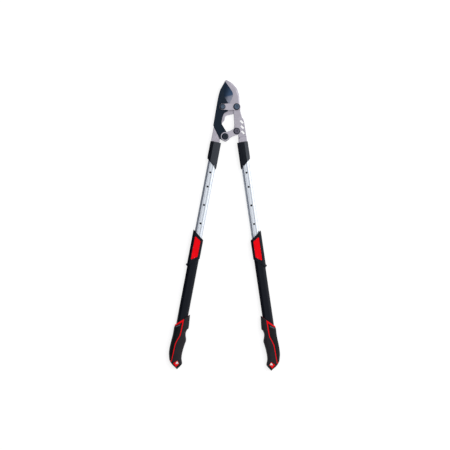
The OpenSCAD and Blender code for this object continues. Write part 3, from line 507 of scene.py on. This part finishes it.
def make_materials(tones):
    """Makes every finish: its colour, its roughness and, on mouldings, its specular level"""
    steep = math.radians(70)
    MATERIALS.update(
        casting=cast_metal("satin_casting", tones.casting, 0.42),
        plate=drawn_metal("plated_steel", tones.plate, 0.3, turn=steep, fineness=1500.0),
        zinc=drawn_metal("zinc_steel", (0.42, 0.43, 0.46), 0.35, turn=0.4, fineness=1200.0),
        blade=moulded("blade_coating", tones.blade, 0.45, 0.12, grain=1800.0, depth=0.05, worn=0.02),
        # The bevel's dark tone is painted reflection and shade over the ground steel
        bevel=ground_bevel("ground_bevel", tones.bevel, painted_dark_tone=(0.022, 0.039, 0.073)),
        bolt=moulded("black_oxide", (0.007, 0.013, 0.027), 0.36, 0.3, grain=1600.0, depth=0.05, worn=0.1),
        bolt_blue=drawn_metal(
            "blued_face", (0.095, 0.137, 0.205), 0.36, turn=0.9, fineness=1400.0, metallic=0.7
        ),
        bolt_brown=drawn_metal(
            "bronzed_face", (0.125, 0.118, 0.162), 0.4, turn=0.5, fineness=1400.0, metallic=0.6
        ),
        black_tube=black_moulded("powder_coat", scaled(tones.black, factor=1.2), 0.42, 0.2, grain=1500.0),
        plastic=black_moulded("black_moulding", tones.black, 0.36, 0.6, grain=1100.0),
        red=moulded("red_moulding", tones.red, 0.3, 0.06, grain=1300.0, depth=0.03, worn=0.0),
        palm=moulded("palm_rubber", tones.palm, 0.5, 0.15, grain=900.0, depth=0.2, worn=0.03),
        finger=moulded("finger_rubber", tones.finger, 0.62, 0.2, grain=900.0, depth=0.25, worn=0.06),
        mark=moulded("grip_mark", (0.09, 0.10, 0.13), 0.5, 0.3, grain=1200.0, depth=0.05),
        # Painted shade: the unlit inside of the tubes and the rims round their lock holes
        inside=moulded("painted_shade_inside", (0.010, 0.010, 0.012), 0.8, 0.1, grain=1200.0, depth=0.1, worn=0.05),
        # Painted shade in the tubes' grooves: their walls take a darker tone of the tube
        groove=drawn_metal("groove_wall_painted_shade", scaled(tones.tube, factor=0.3), 0.4, turn=0.0, fineness=2200.0),
    )
    for side in SIDES:
        MATERIALS[f"{side}_tube"] = drawn_metal(
            f"{side}_anodised",
            tones.tube,
            0.28,
            turn=handle_turn(side),
            fineness=2200.0,
            strength=0.08,
            metallic=0.8,
        )


def material(name):
    """A named finish of the lopper; all are made on first use"""
    if not MATERIALS:
        make_materials(bpy.context.scene.lopper_colours)
    return MATERIALS[name]


# Meshes

def linked(name, data):
    """A new object with this mesh, lamp or camera in the scene"""
    thing = bpy.data.objects.new(name, data)
    bpy.context.scene.collection.objects.link(thing)
    return thing


def settle(piece):
    """Turns a piece with modifiers into a plain mesh"""
    depsgraph = bpy.context.evaluated_depsgraph_get()
    mesh = bpy.data.meshes.new_from_object(piece.evaluated_get(depsgraph), depsgraph=depsgraph)
    mesh.name = piece.name
    piece.modifiers.clear()
    piece.data = mesh
    return piece


def meshed(name, shape):
    """Turns a shape under construction into a mesh"""
    mesh = bpy.data.meshes.new(name)
    shape.to_mesh(mesh)
    shape.free()
    return mesh


def rounded(piece, width, limit=40.0):
    """Rounds edges that turn by more than a limit in degrees, and keeps flat faces flat"""
    bevel = piece.modifiers.new("Round", "BEVEL")
    bevel.width = width
    bevel.segments = 2
    bevel.limit_method = "ANGLE"
    bevel.angle_limit = math.radians(limit)
    bevel.use_clamp_overlap = False
    bevel.face_strength_mode = "FSTR_AFFECTED"
    normals = piece.modifiers.new("Flat faces", "WEIGHTED_NORMAL")
    normals.use_face_influence = True
    return settle(piece)


def merged_copy(node):
    """A node's solid as one closed mesh"""
    source = NODES[node].data
    mesh = bpy.data.meshes.new(node + "_shown")
    mesh.from_pydata([v.co for v in source.vertices], [], [list(p.vertices) for p in source.polygons])
    shape = bmesh.new()
    shape.from_mesh(mesh)
    bmesh.ops.remove_doubles(shape, verts=shape.verts, dist=2e-6)
    for face in shape.faces:
        face.smooth = True
    shape.to_mesh(mesh)
    shape.free()
    return mesh


def seat(piece, body, slot, *nodes):
    """Lets a piece ride on its body and hides the nodes that it stands for; its slot is not used"""
    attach(piece, body)
    if nodes:
        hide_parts(*nodes)
    return piece


def shown(node, finish):
    """A copy of a node's own solid with a finish"""
    piece = linked(node + "_shown", merged_copy(node))
    piece.data.materials.append(finish)
    return piece


def stand_in(piece, node):
    """Lets a piece take the place of a node"""
    return seat(piece, BODY_OF[node], SLOT_OF[node], node)


def finished(node, finish, width):
    """Shows a node's own solid with rounded edges and a finish"""
    return stand_in(rounded(shown(node, finish), width, limit=28.0), node)


def sharp_edged(node, finish):
    """Shows a node's own solid with a finish and with its edges as they are"""
    piece = shown(node, finish)
    piece.data.set_sharp_from_angle(angle=math.radians(25))
    return stand_in(piece, node)


def moulded_solid(node, finish, fineness):
    """Shows a node's own solid with all its edges softened, as casting, moulding and tumbling leave them"""
    piece = shown(node, finish)
    skin = piece.modifiers.new("Skin", "REMESH")
    skin.mode = "VOXEL"
    skin.voxel_size = fineness
    skin.use_smooth_shade = True
    soften = piece.modifiers.new("Soften", "SMOOTH")
    soften.factor = 0.5
    soften.iterations = 3
    return stand_in(settle(piece), node)


def lofted(name, rings, strip=0):
    """A closed solid through equal rings of points. With strip, each ring is a curved band: strip + 1
    points of its outer side and as many of its inner side, which also close the ends"""
    shape = bmesh.new()
    rows = [[shape.verts.new(p) for p in ring] for ring in rings]
    count = len(rows[0])
    for upper, lower in zip(rows, rows[1:]):
        for j in range(count):
            k = (j + 1) % count
            shape.faces.new((upper[j], upper[k], lower[k], lower[j]))
    for row in (rows[0], rows[-1]):
        if strip:
            for j in range(strip):
                shape.faces.new((row[j], row[j + 1], row[count - 2 - j], row[count - 1 - j]))
        else:
            shape.faces.new(row)
    bmesh.ops.recalc_face_normals(shape, faces=shape.faces)
    for face in shape.faces:
        face.smooth = True
    return linked(name, meshed(name, shape))


def sharpened(piece):
    """Shades a cut piece smooth up to an angle, without the normals that it had before the cut"""
    if "custom_normal" in piece.data.attributes:
        piece.data.attributes.remove(piece.data.attributes["custom_normal"])
    piece.data.set_sharp_from_angle(angle=math.radians(40))
    return piece


def carve(piece, tool, operation="DIFFERENCE"):
    """Cuts a tool out of a piece, or joins it on, and removes the tool"""
    cut = piece.modifiers.new("Carve", "BOOLEAN")
    cut.operation = operation
    cut.solver = "EXACT"
    cut.object = tool
    settle(piece)
    bpy.data.objects.remove(tool)


# Handles

class Handle:
    """One handle's own frame: x inwards, stations down the handle and z to the front, in millimetres"""

    def __init__(self, side):
        press = JOINTS[f"{side}_lock_press"]
        low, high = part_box(f"{side}_inner_tube")
        self.down = Vector(JOINTS[f"{side}_telescope"]["axis"])
        self.inward = Vector(press["axis"]) * (1 if side == "left" else -1)
        self.axle = Vector((press["pos_m"][0], press["pos_m"][1], (low.z + high.z) / 2))

    def at(self, x, station, z):
        """The point of the tool at a place of the handle"""
        along = (station - AXLE_STATION) * MM
        return self.axle + self.inward * (x * MM) + self.down * along + Vector((0, 0, z * MM))

    def across(self, place):
        """Distances of a point from the handle's middle: inwards and to the front"""
        away = place - self.axle
        return away.dot(self.inward) / MM, away.z / MM


def grip_row(u):
    """A smooth row of the grip anywhere between the given ones; the red line has sharp bends"""
    i = min(int(u), LAST_ROW - 1)
    f = u - i
    a, b, c, d = (GRIP_ROWS[max(0, min(LAST_ROW, k))] for k in (i - 1, i, i + 1, i + 2))
    smooth = GripRow(*(
        q + 0.5 * f * (r - p + f * (2 * p - 5 * q + 4 * r - s + f * (3 * (q - r) + s - p)))
        for p, q, r, s in zip(a, b, c, d)
    ))
    return smooth._replace(line=mix(b.line, c.line, f))


def bulge(v):
    """A sine or cosine of the grip's round section made squarer"""
    return math.copysign(abs(v) ** (2 / GRIP_POWER), v)


def grip_point(handle, u, angle, depth):
    """A point of the grip's surface, drawn in by a depth in millimetres"""
    row = grip_row(u)
    k = bulge(math.cos(angle))
    x = (row.finger + row.palm) / 2 + ((row.finger - row.palm) / 2 - depth) * k
    middle = (row.finger_station + row.palm_station) / 2
    station = middle + (row.finger_station - row.palm_station) / 2 * k
    return handle.at(x, GRIP_STATION + station, (row.depth - depth) * bulge(math.sin(angle)))


def place_angle(u, x):
    """The angle at which the front of the grip crosses a place across it"""
    row = grip_row(u)
    k = (x - (row.finger + row.palm) / 2) / ((row.finger - row.palm) / 2)
    k = max(-1.0, min(1.0, k))
    return math.acos(math.copysign(abs(k) ** (GRIP_POWER / 2), k))


def line_angle(u, offset):
    """The angle at a distance across the grip from the middle of the red line"""
    return place_angle(u, grip_row(u).line + offset)


def softened(points, radius):
    """A closed outline with its corners rounded"""
    made = []
    for i, here in enumerate(points):
        before, after = Vector(points[i - 1]), Vector(points[(i + 1) % len(points)])
        corner = Vector(here)
        a, b = (before - corner).normalized(), (after - corner).normalized()
        half = a.angle(b) / 2
        start, end = corner + a * radius / math.tan(half), corner + b * radius / math.tan(half)
        centre = corner + (a + b).normalized() * radius / math.sin(half)
        for f in steps(0, 1, count=4):
            made.append(tuple(centre + (start.lerp(end, f) - centre).normalized() * radius))
    return made


def prism(name, handle, corners, radius, depth):
    """An upright prism through the grip's end, from corners and a radius in parts of the eyelet's width"""
    tip = GRIP_STATION + GRIP_LENGTH
    outline = softened([(x * EYELET_WIDTH, y * EYELET_WIDTH) for x, y in corners], radius * EYELET_WIDTH)
    return lofted(name, [[handle.at(x, tip - y, z) for x, y in outline] for z in (-depth / 2, depth / 2)])


class LOPPER_OT_head(bpy.types.Operator):
    """Finishes the cast heads, the bridge plate and the links"""

    bl_idname = "lopper.head"
    bl_label = "Heads and links"

    def execute(self, context):
        sizes = context.scene.lopper_sizes
        for node in ("hook_frame", "lever_head"):
            moulded_solid(node, material("casting"), sizes.cast_skin)
        for node in ("bridge_plate", "front_link", "rear_link"):
            moulded_solid(node, material("plate"), sizes.plate_skin)
        return {"FINISHED"}


class LOPPER_OT_blade(bpy.types.Operator):
    """Finishes the coated blade and its ground bevel"""

    bl_idname = "lopper.blade"
    bl_label = "Blade"

    def execute(self, context):
        piece = sharp_edged("cutting_blade", material("blade"))
        piece.data.materials.append(material("bevel"))
        least, most = BEVEL_FACES
        for face in piece.data.polygons:
            if least < face.normal.z < most:
                face.material_index = 1
        return {"FINISHED"}


def painted(tree, enter, leave, spread):
    """Ends a tree with real meshes instead of instances, in the material that it is given"""
    real = add(tree, "GeometryNodeRealizeInstances")
    paint = add(tree, "GeometryNodeSetMaterial")
    tree.links.new(spread, real.inputs["Geometry"])
    wire(
        tree,
        (real, "Geometry", paint, "Geometry"),
        (enter, "Material", paint, "Material"),
        (paint, "Geometry", leave, "Geometry"),
    )
    return tree


def knurl_tree():
    """Geometry nodes: a ring of small upright ridges round a bolt head"""
    inputs = (
        ("Centre", VECTOR, (0.0, 0.0, 0.0)),
        ("Radius", NUMBER, 10.4 * MM),
        ("Teeth", WHOLE, 40),
        ("Tooth radius", NUMBER, 0.4 * MM),
        ("Tooth height", NUMBER, 2.0 * MM),
        ("Material", MATERIAL, None),
    )
    tree, enter, leave = new_tree("Bolt knurl", "GeometryNodeTree", inputs, Geometry=GEOMETRY)
    ring = add(tree, "GeometryNodeCurvePrimitiveCircle")
    tooth = add(tree, "GeometryNodeMeshCylinder", Vertices=6)
    points = add(tree, "GeometryNodeCurveToPoints")
    spread = add(tree, "GeometryNodeInstanceOnPoints")
    move = add(tree, "GeometryNodeTransform")
    wire(
        tree,
        (enter, "Radius", ring, "Radius"),
        (ring, "Curve", points, "Curve"),
        (enter, "Teeth", points, "Count"),
        (enter, "Tooth radius", tooth, "Radius"),
        (enter, "Tooth height", tooth, "Depth"),
        (points, "Points", spread, "Points"),
        (tooth, "Mesh", spread, "Instance"),
        (spread, "Instances", move, "Geometry"),
        (enter, "Centre", move, "Translation"),
    )
    return painted(tree, enter, leave, move.outputs["Geometry"])


def grown(name, tree, values):
    """A plain mesh made by a geometry-nodes tree with these inputs"""
    piece = linked(name, bpy.data.meshes.new(name))
    grower = piece.modifiers.new("Grow", "NODES")
    grower.node_group = tree
    keys = {item.name: item.identifier for item in tree.interface.items_tree if item.in_out == "INPUT"}
    for key, value in values.items():
        grower[keys[key]] = value
    return settle(piece)


class LOPPER_OT_bolts(bpy.types.Operator):
    """Finishes the pivot bolts with their knurled heads, nuts and washers"""

    bl_idname = "lopper.bolts"
    bl_label = "Bolts"

    def execute(self, context):
        sizes = context.scene.lopper_sizes
        tree = knurl_tree()
        for node, face_finish in BOLT_FACES.items():
            piece = finished(node, material("bolt"), sizes.plate_round)
            piece.data.materials.append(material(face_finish))
            low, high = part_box(node)
            radius = (high.x - low.x) / 2
            centre = Vector(((low.x + high.x) / 2, (low.y + high.y) / 2, high.z - KNURL_DROP * MM))
            for face in piece.data.polygons:
                near = (face.center.xy - centre.xy).length < FACE_PART * radius
                if near and face.center.z > centre.z:
                    face.material_index = 1
            values = {
                "Centre": centre,
                "Radius": radius - KNURL_SINK * MM,
                "Teeth": sizes.knurl_teeth,
                "Material": material("bolt"),
            }
            knurl = grown(node + "_knurl", tree, values)
            seat(knurl, BODY_OF[node], SLOT_OF[node])
        for node in ("blade_nut", "lever_nut", "crank_nut", "tail_nut"):
            finished(node, material("zinc"), sizes.plate_round)
        for node in ("frame_washers", "crank_washer", "tail_washer"):
            finished(node, material("zinc"), width=0.15 * MM)
        return {"FINISHED"}


def shade_rim_tree():
    """Geometry nodes: a rim round each lock hole that carries the hole's painted shade, the first one at its own
    distance
    """
    inputs = (
        ("First", VECTOR, (0.0, 0.0, 0.0)),
        ("Second", VECTOR, (0.0, 0.0, 0.0)),
        ("Step", VECTOR, (0.0, 0.0, 0.0)),
        ("Count", WHOLE, 4),
        ("Rim radius", NUMBER, 2.95 * MM),
        ("Wire radius", NUMBER, 0.3 * MM),
        ("Material", MATERIAL, None),
    )
    tree, enter, leave = new_tree("Lock hole rims", "GeometryNodeTree", inputs, Geometry=GEOMETRY)
    row = add(tree, "GeometryNodeMeshLine", mode="OFFSET")
    single = add(tree, "GeometryNodePoints")
    joined = add(tree, "GeometryNodeJoinGeometry")
    ring = add(tree, "GeometryNodeCurvePrimitiveCircle", Resolution=28)
    thread = add(tree, "GeometryNodeCurvePrimitiveCircle", Resolution=6)
    rim = add(tree, "GeometryNodeCurveToMesh")
    spread = add(tree, "GeometryNodeInstanceOnPoints")
    wire(
        tree,
        (enter, "Second", row, "Start Location"),
        (enter, "Step", row, "Offset"),
        (enter, "Count", row, "Count"),
        (enter, "First", single, "Position"),
        (row, "Mesh", joined, "Geometry"),
        (single, "Points", joined, "Geometry"),
        (enter, "Rim radius", ring, "Radius"),
        (enter, "Wire radius", thread, "Radius"),
        (ring, "Curve", rim, "Curve"),
        (thread, "Curve", rim, "Profile Curve"),
        (joined, "Geometry", spread, "Points"),
        (rim, "Mesh", spread, "Instance"),
    )
    return painted(tree, enter, leave, spread.outputs["Instances"])


class LOPPER_OT_tubes(bpy.types.Operator):
    """Finishes the telescopic tubes, their lock holes and what holds them"""

    bl_idname = "lopper.tubes"
    bl_label = "Tubes"

    def execute(self, context):
        sizes = context.scene.lopper_sizes
        tree = shade_rim_tree()
        least, most = GROOVE_WALLS
        for side in SIDES:
            handle = Handle(side)
            tube = f"{side}_inner_tube"
            piece = sharp_edged(tube, material(f"{side}_tube"))
            piece.data.materials.append(material("inside"))
            piece.data.materials.append(material("groove"))
            for face in piece.data.polygons:
                x, z = handle.across(face.center)
                # Faces inside the wall take the painted shade of the tube's unlit inside
                if math.hypot(max(0, abs(x) - TUBE_FLAT), z) < TUBE_MIDDLE:
                    face.material_index = 1
                # Walls of the groove take a darker tone, which is painted shade
                elif abs(x) < TUBE_FLAT and least < abs(face.normal.z) < most:
                    face.material_index = 2
            # Rims round the lock holes in the inside's painted shade, which widens the dark of each hole
            values = {
                "First": handle.at(0, FIRST_HOLE, GROOVE_FLOOR),
                "Second": handle.at(0, SECOND_HOLE, GROOVE_FLOOR),
                "Step": handle.down * HOLE_PITCH * MM,
                "Material": material("inside"),
            }
            rims = grown(f"{side}_hole_shade_rims", tree, values)
            seat(rims, BODY_OF[tube], SLOT_OF[tube])
            sharp_edged(f"{side}_outer_tube", material("black_tube"))
            finished(f"{side}_tang_rivets", material("zinc"), sizes.plate_round)
            finished(f"{side}_guide_bush", material("plastic"), sizes.plate_round)
        return {"FINISHED"}


class LOPPER_OT_collars(bpy.types.Operator):
    """Finishes the upper collars, the lock collars and their screws"""

    bl_idname = "lopper.collars"
    bl_label = "Collars"

    def execute(self, context):
        sizes = context.scene.lopper_sizes
        for side in SIDES:
            sharp_edged(f"{side}_upper_collar", material("plastic"))
            moulded_solid(f"{side}_lock_collar", material("black_tube"), sizes.collar_skin)
            finished(f"{side}_collar_screw", material("bolt"), sizes.plate_round)
        return {"FINISHED"}


class LOPPER_OT_locks(bpy.types.Operator):
    """Finishes the red lock buttons, their pins, axles and leaf springs"""

    bl_idname = "lopper.locks"
    bl_label = "Locks"

    def execute(self, context):
        sizes = context.scene.lopper_sizes
        for side in SIDES:
            sharp_edged(f"{side}_lock_button", material("red"))
            finished(f"{side}_lock_pin", material("zinc"), sizes.plate_round)
            finished(f"{side}_lock_axle", material("zinc"), sizes.plate_round)
            spring = finished(f"{side}_lock_spring", material("zinc"), width=0.08 * MM)
            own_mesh(spring)
        return {"FINISHED"}


class Grip:
    """The pieces of one grip, all drawn on the same surface"""

    # Room between the core and the pads, and the depth of the core's bare face, in millimetres
    GAP = 0.15
    DROP = 0.3

    def __init__(self, side, sizes):
        self.handle = Handle(side)
        self.side = side
        self.pad = sizes.pad_thickness / MM
        self.line = sizes.line_width / MM
        self.round = sizes.pad_round

    def point(self, u, angle, depth):
        return grip_point(self.handle, u, angle, depth + GRIP_SKIN)

    def half_line(self, u):
        """Half the width of the red line, which narrows to three quarters towards the heel"""
        first_row, rows = 2, 9
        narrowed = min(1, max(0, u - first_row) / rows)
        return mix(self.line, 0.75 * self.line, narrowed) / 2

    def finger_angles(self, u):
        edge = line_angle(u, self.half_line(u))
        return steps(-edge, edge, PAD_ACROSS)

    def palm_angles(self, u):
        edge = line_angle(u, -self.half_line(u))
        return steps(edge, 2 * math.pi - edge, PAD_ACROSS)

    def mark_angles(self, u):
        return steps(place_angle(u, x=-3.0), place_angle(u, x=-16.5), count=12)

    def band(self, name, rows, angles, top, foot):
        """A strip of the surface between two depths"""
        rings = []
        for u in rows:
            turn = angles(u)
            outer = [self.point(u, a, top) for a in turn]
            inner = [self.point(u, a, foot) for a in reversed(turn)]
            rings.append(outer + inner)
        return lofted(name, rings, strip=len(turn) - 1)

    def kite(self, depth):
        return prism("kite", self.handle, EYELET_KITE, radius=0.07, depth=depth)

    def finger_pad(self):
        rows = steps(0, PADS_END, count=96)
        return self.opened(self.band(f"{self.side}_finger_grip", rows, self.finger_angles, 0, self.pad))

    def palm_pad(self):
        rows = steps(PALM_FIRST, PALM_LAST, PALM_STEPS)
        return rounded(self.band(f"{self.side}_palm_grip", rows, self.palm_angles, 0, self.pad), self.round)

    def end_cap(self):
        turn = steps(0, 2 * math.pi, count=64)[:-1]
        rings = [[self.point(u, a, 0) for a in turn] for u in steps(PADS_END, LAST_ROW, count=36)]
        return self.opened(lofted(f"{self.side}_grip_heel", rings))

    def opened(self, piece):
        """Rounds a soft piece and cuts the eyelet's kite out of it"""
        rounded(piece, self.round)
        carve(piece, self.kite(depth=80))
        return sharpened(piece)

    def core_ring(self, u, palm_depth):
        """A ring of the core: under the finger pad, out to the red lines, and at a depth on the palm side"""
        near = self.half_line(u) - self.GAP
        inside, outside = line_angle(u, near), line_angle(u, -near)
        return (
            [self.point(u, a, self.pad + self.GAP) for a in self.finger_angles(u)]
            + [self.point(u, a, self.DROP) for a in (inside, outside)]
            + [self.point(u, a, palm_depth) for a in self.palm_angles(u)]
            + [self.point(u, -a, self.DROP) for a in (outside, inside)]
        )

    def core(self):
        """The red core: bare above and below the palm pad, with the eyelet and the tube's bore"""
        # In rows: where the core begins, and its two steps beside each end of the palm pad
        first, near, far = 0.04, 0.01, 0.03
        bare_top = steps(first, PALM_FIRST - far, count=5)
        covered = steps(PALM_FIRST - near, PALM_LAST + near, PALM_STEPS)
        bare_foot = steps(PALM_LAST + far, PADS_END, count=4)
        stretches = ((bare_top, self.DROP), (covered, self.pad + self.GAP), (bare_foot, self.DROP))
        rings = [self.core_ring(u, depth) for rows, depth in stretches for u in rows]
        core = lofted(f"{self.side}_grip_inner", rings)
        carve(core, self.kite(depth=22), "UNION")
        carve(core, self.bore())
        carve(core, prism("hole", self.handle, HANG_HOLE, radius=0.08, depth=80))
        return rounded(core, width=0.12 * MM, limit=50.0)

    def bore(self):
        """The oval that the outer tube leaves in the core, from above the grip to just below the tube"""
        oval = []
        for sign in (1, -1):
            for a in steps(-math.pi / 2, math.pi / 2, count=24):
                x, z = TUBE_FLAT + BORE_RADIUS * math.cos(a), BORE_RADIUS * math.sin(a)
                oval.append((sign * x, sign * z))
        ends = (GRIP_STATION - 20, TUBE_FOOT + 0.1)
        return lofted("bore", [[self.handle.at(x, station, z) for x, z in oval] for station in ends])

    def mark(self):
        """The short raised bar below the red band on the palm side"""
        rows = steps(0.78, 0.99, count=4)
        bar = self.band(f"{self.side}_grip_mark", rows, self.mark_angles, top=-0.05, foot=0.6)
        return rounded(bar, width=0.1 * MM)


class LOPPER_OT_grips(bpy.types.Operator):
    """Makes the grips: red cores, soft pads and heels with their eyelets"""

    bl_idname = "lopper.grips"
    bl_label = "Grips"

    def execute(self, context):
        for side in SIDES:
            grip = Grip(side, context.scene.lopper_sizes)
            for piece, finish, node in (
                (grip.core(), "red", "grip_core"),
                (grip.palm_pad(), "palm", "palm_pad"),
                (grip.finger_pad(), "finger", "finger_pad"),
                (grip.end_cap(), "palm", "grip_end"),
            ):
                piece.data.materials.append(material(finish))
                stand_in(piece, f"{side}_{node}")
            mark = grip.mark()
            mark.data.materials.append(material("mark"))
            seat(mark, f"{side}_lower", "soft_black")
        return {"FINISHED"}


# Stage

def area_lamp(name, place, target, size, power):
    """A soft lamp that faces a point"""
    lamp = bpy.data.lights.new(name, "AREA")
    lamp.shape = "RECTANGLE"
    lamp.size, lamp.size_y = size
    lamp.energy = power
    thing = linked(name, lamp)
    thing.location = place
    thing.rotation_euler = (Vector(target) - Vector(place)).to_track_quat("-Z", "Y").to_euler()
    return thing


def dark_card(name, corners):
    """A dark card that shows only in what is glossy"""
    shape = bmesh.new()
    shape.faces.new([shape.verts.new(c) for c in corners])
    card = linked(name, meshed(name, shape))
    finish = Finish("dark_card", (0.05, 0.065, 0.105), roughness=0.9, specular=0.0)
    card.data.materials.append(finish.material)
    card.visible_camera = False
    card.visible_diffuse = False
    card.visible_shadow = False


def seen_directly(tree):
    """1 for what the camera sees, also in a reflection or through something clear"""
    path = add(tree, "ShaderNodeLightPath")
    seen = maths(tree, "MAXIMUM", path.outputs["Is Camera Ray"], path.outputs["Is Glossy Ray"])
    return maths(tree, "MAXIMUM", seen, path.outputs["Is Transmission Ray"])


def floor_material():
    """Pale floor that the camera sees as white and that keeps the shadow"""
    finish = Finish("pale_floor", (0.42, 0.42, 0.425), roughness=0.9, specular=0.0)
    grains = finish.group("grain", Scale=300.0)
    finish.vary_roughness(grains.outputs["Tone"], low=0.85, high=0.95)
    tree = finish.tree
    strength = 0.72
    glow = add(tree, "ShaderNodeEmission", Color=(*WHITE, 1.0))
    tree.links.new(maths(tree, "MULTIPLY", seen_directly(tree), strength), glow.inputs["Strength"])
    both = add(tree, "ShaderNodeAddShader")
    tree.links.new(finish.shader.outputs["BSDF"], both.inputs[0])
    tree.links.new(glow.outputs["Emission"], both.inputs[1])
    tree.links.new(both.outputs["Shader"], finish.out.inputs["Surface"])
    return finish.material


def white_world():
    """Soft white light all round; seen directly or in a reflection it is white"""
    world = bpy.data.worlds.new("studio")
    world.use_nodes = True
    tree = world.node_tree
    light = 0.55
    glow = maths(tree, "MULTIPLY", seen_directly(tree), 1.0 - light)
    back = next(n for n in tree.nodes if n.type == "BACKGROUND")
    back.inputs["Color"].default_value = (*WHITE, 1.0)
    tree.links.new(maths(tree, "ADD", glow, light), back.inputs["Strength"])
    return world


class LOPPER_OT_stage(bpy.types.Operator):
    """Lays the floor and sets the light and the camera"""

    bl_idname = "lopper.stage"
    bl_label = "Stage"

    def execute(self, context):
        scene = context.scene
        scene.view_settings.view_transform = "Standard"
        scene.world = white_world()
        self.lay_floor(context)
        self.set_light()
        self.place_cards()
        scene.camera = self.camera()
        return {"FINISHED"}

    def lay_floor(self, context):
        place = (0, -0.4, CAD_BOX[0].z)
        bpy.ops.mesh.primitive_circle_add(vertices=96, radius=9.0, fill_type="NGON", location=place)
        floor = context.object
        floor.name = "floor"
        floor.data.materials.append(floor_material())

    def set_light(self):
        """A lamp above, which leaves no highlight, and a weaker one on the right"""
        low, high = CAD_BOX
        middle = ((low.x + high.x) / 2, (low.y + high.y) / 2, 0.0)
        overhead = area_lamp("overhead", (0.8, 0.3, 2.5), middle, size=(1.6, 1.6), power=24.0)
        overhead.visible_glossy = False
        area_lamp("right_side", (2.4, 0.0, 1.6), middle, size=(1.6, 2.4), power=16.0)

    def place_cards(self):
        """A leaning card far on the left, and a lying one left of each handle that darkens its flank"""
        foot, top = (-1.1, 0.05), (-0.75, 2.4)
        near, far = -2.2, 1.4
        leaning = ((foot, near), (foot, far), (top, far), (top, near))
        dark_card("left_flag", [(x, y, z) for (x, z), y in leaning])
        # The edge of a lying card along its handle, and its other edge at both ends, in the handle's frame
        start, height = 10, -14
        for side, edge, upper, lower in (("left", -15, -600, -600), ("right", 15, 40, 100)):
            ends = ((edge, start), (edge, GRIP_STATION), (lower, GRIP_STATION), (upper, start))
            dark_card(f"{side}_floor_flag", [Handle(side).at(x, station, height) for x, station in ends])

    def camera(self):
        """The photograph's camera, straight above the tool"""
        camera = bpy.data.cameras.new("camera")
        frame_width, distance = 1.44, 4.0
        camera.sensor_width = 36.0
        camera.lens = camera.sensor_width * distance / frame_width
        thing = linked("camera", camera)
        middle_x, middle_y, height = 7.7 * MM, -377.9 * MM, 20 * MM
        thing.location = (middle_x, middle_y, distance + height)
        return thing


OPERATORS = (
    LOPPER_OT_head,
    LOPPER_OT_blade,
    LOPPER_OT_bolts,
    LOPPER_OT_tubes,
    LOPPER_OT_collars,
    LOPPER_OT_locks,
    LOPPER_OT_grips,
    LOPPER_OT_stage,
)


class LOPPER_PT_panel(bpy.types.Panel):
    """Lists the steps that finish the lopper, with its sizes and colours"""

    bl_idname = "LOPPER_PT_panel"
    bl_label = "Lopper"
    bl_space_type = "VIEW_3D"
    bl_region_type = "UI"
    bl_category = "Lopper"

    def draw(self, context):
        for operator in OPERATORS:
            self.layout.operator(operator.bl_idname)
        for group in (context.scene.lopper_sizes, context.scene.lopper_colours):
            for name in group.__annotations__:
                self.layout.prop(group, name)


CLASSES = (LopperSizes, LopperColours, *OPERATORS, LOPPER_PT_panel)


def register():
    for item in CLASSES:
        bpy.utils.register_class(item)
    bpy.types.Scene.lopper_sizes = bpy.props.PointerProperty(type=LopperSizes)
    bpy.types.Scene.lopper_colours = bpy.props.PointerProperty(type=LopperColours)


def unregister():
    del bpy.types.Scene.lopper_colours
    del bpy.types.Scene.lopper_sizes
    for item in reversed(CLASSES):
        bpy.utils.unregister_class(item)


def main():
    register()
    bpy.ops.lopper.head()
    bpy.ops.lopper.blade()
    bpy.ops.lopper.bolts()
    bpy.ops.lopper.tubes()
    bpy.ops.lopper.collars()
    bpy.ops.lopper.locks()
    bpy.ops.lopper.grips()
    bpy.ops.lopper.stage()


if __name__ == "__main__":
    main()
